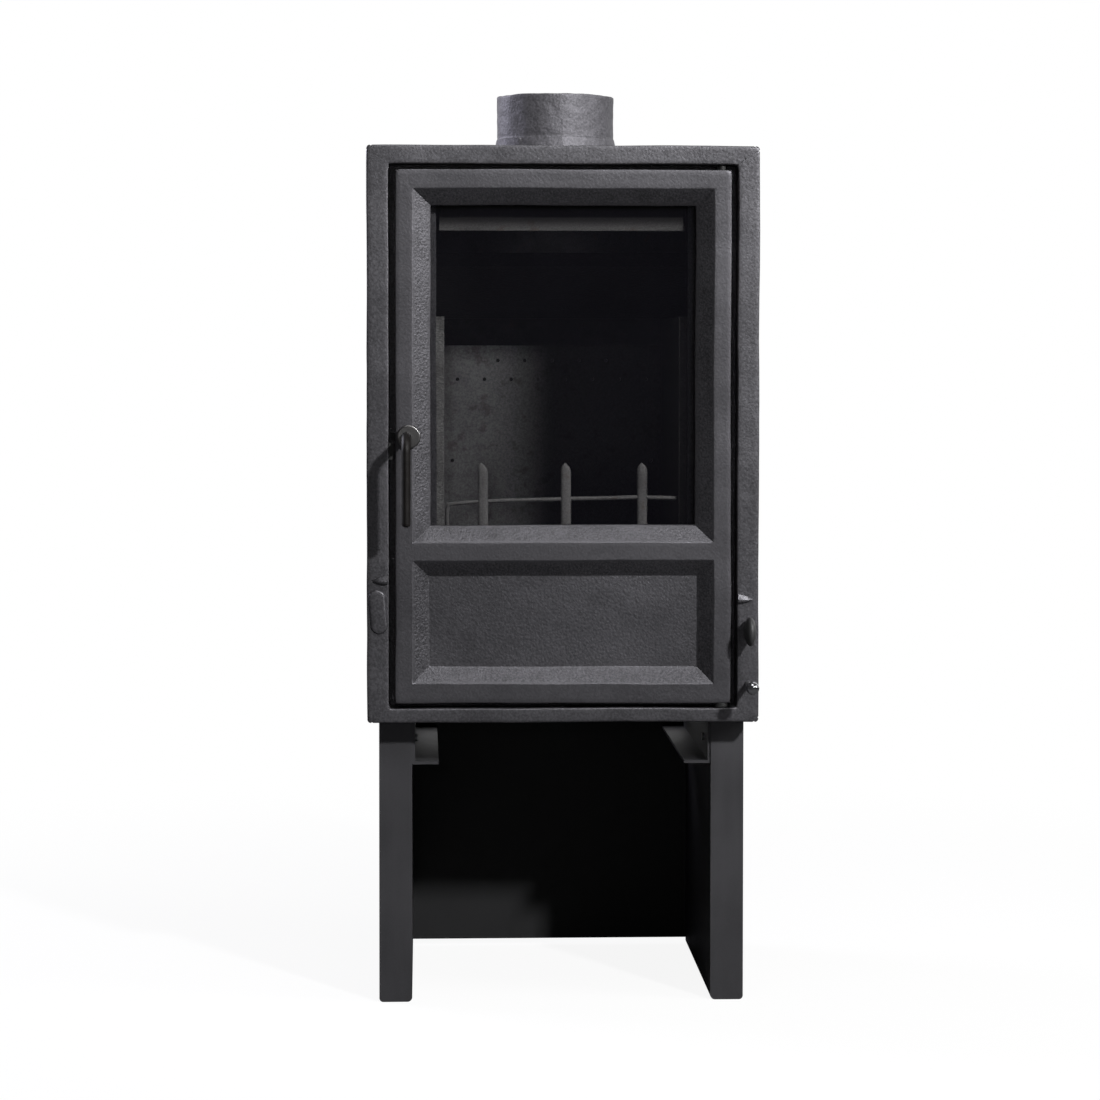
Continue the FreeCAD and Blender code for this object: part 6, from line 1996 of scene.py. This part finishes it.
@dataclass
class Studio:
    """A white floor and background, five lamps and the camera."""

    floor_size: float = 14.0
    floor_colour: Colour = (0.97, 0.97, 0.97)
    floor_bounce: Colour = (0.13, 0.13, 0.13)
    floor_glow: float = 0.91
    glow_start: float = 0.5
    glow_end: float = 1.6
    room_light: float = 0.065
    sky_edge: tuple[float, float] = (0.2, 0.7)
    lamps: tuple[Lamp, ...] = (
        Lamp("key_lamp", (1.84, -3.28, 2.42), 0.22, 26.5, (0.1, -0.148, 0.85), math.radians(70)),
        Lamp("front_lamp", (-0.25, -3.28, 0.765), 0.06, 0.7),
        Lamp("overhead_lamp", (0.0, -0.95, 2.7), 1.0, 15),
        Lamp("side_lamp", (2.3, -0.85, 1.5), 0.8, 28),
        Lamp("rear_lamp", (-2.3, 1.2, 1.7), 1.2, 54, (0.0, 0.05, 0.8), math.pi, (0.87, 0.86, 1.0)),
    )
    camera_place: Point = (-0.1422, -3.26375, 0.6650)
    yaw: float = 2.362
    pitch: float = 1.861
    roll: float = 0.033
    focal_pixels: float = 3105.8
    image_pixels: float = 1100.0
    sensor: float = 36.0
    shift: float = -0.09

    def build(self) -> None:
        """Make the floor, the light and the camera."""
        self.floor()
        self.world()
        for lamp in self.lamps:
            lamp.build()
        self.camera()
        bpy.context.scene.view_settings.view_transform = "Standard"

    def floor(self) -> None:
        """A wide pale floor that looks white and keeps the stove's shadow."""
        reach = np.linspace(-self.floor_size, self.floor_size, 3)
        x, y = np.meshgrid(reach, reach, indexing="ij")
        patch = Patch.grid(np.stack([x, y, np.zeros_like(x)], axis=-1))
        floor = Shell("studio_floor").add(patch).built()
        material = bpy.data.materials.new("studio_floor")
        material.use_nodes = True
        recipe = Recipe(material.node_tree)
        seen = recipe.node("ShaderNodeLightPath", output="Is Camera Ray")
        paint, bounce = (
            recipe.node("ShaderNodeBsdfDiffuse", None, {"Color": (*colour, 1.0)})
            for colour in (self.floor_colour, self.floor_bounce)
        )
        glow = recipe.node("ShaderNodeEmission", None, {"Color": (1, 1, 1, 1), "Strength": 1.0})
        far = recipe.node("ShaderNodeVectorMath", {"operation": "LENGTH"}, {0: recipe.place()}, "Value")
        share = self.floor_glow + (1.0 - self.floor_glow) * far.above(self.glow_start, self.glow_end)
        white = recipe.node("ShaderNodeMixShader", None, {0: share, 1: paint, 2: glow})
        recipe.surface(recipe.node("ShaderNodeMixShader", None, {0: seen, 1: bounce, 2: white}))
        floor.data.materials.append(material)
        floor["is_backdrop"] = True

    def world(self) -> None:
        """A white background behind the stove, seen also in metal and glass, and a dim room in front."""
        world = bpy.data.worlds.new("studio")
        world.use_nodes = True
        bpy.context.scene.world = world
        recipe = Recipe(world.node_tree)
        camera, through, mirrored = (
            recipe.node("ShaderNodeLightPath", output=f"Is {kind} Ray")
            for kind in ("Camera", "Transmission", "Glossy")
        )
        ways = recipe.node("ShaderNodeTexCoord", output="Generated")
        behind = recipe.part(ways, Axis.Y).above(*self.sky_edge)
        white = camera.larger(through).larger(mirrored * behind)
        strength = white + self.room_light * (1.0 - white)
        sky = recipe.node("ShaderNodeBackground", None, {"Color": (1, 1, 1, 1), "Strength": strength})
        recipe.node("ShaderNodeOutputWorld", None, {"Surface": sky})

    def camera(self) -> None:
        """The camera at the photograph's place, turned by its yaw, pitch and roll."""
        yaw, pitch, roll = (math.radians(angle) for angle in (self.yaw, self.pitch, self.roll))
        ahead = Vector((math.sin(yaw) * math.cos(pitch), math.cos(yaw) * math.cos(pitch), -math.sin(pitch)))
        right = Vector((math.cos(yaw), -math.sin(yaw), 0))
        top = right.cross(ahead)
        rolled_right = math.cos(roll) * right + math.sin(roll) * top
        rolled_top = -math.sin(roll) * right + math.cos(roll) * top
        data = bpy.data.cameras.new("camera")
        data.sensor_width = self.sensor
        data.lens = self.sensor * self.focal_pixels / self.image_pixels
        data.shift_y = self.shift
        camera = bpy.data.objects.new("camera", data)
        turn = Matrix((rolled_right, rolled_top, -ahead)).transposed()
        camera.matrix_world = Matrix.Translation(self.camera_place) @ turn.to_4x4()
        bpy.context.scene.collection.objects.link(camera)
        bpy.context.scene.camera = camera


def main() -> None:
    """Build the stove's pieces in order, then the studio."""
    logging.basicConfig(level=logging.INFO, format="%(name)s: %(message)s")
    stove = Stove()
    Casing().build(stove)
    FrontFrame().build(stove)
    Door().build(stove)
    Handle().build(stove)
    AirKnobs().build(stove)
    LogFence().build(stove)
    FlueCollar().build(stove)
    Studio().build()


if __name__ == "__main__":
    main()
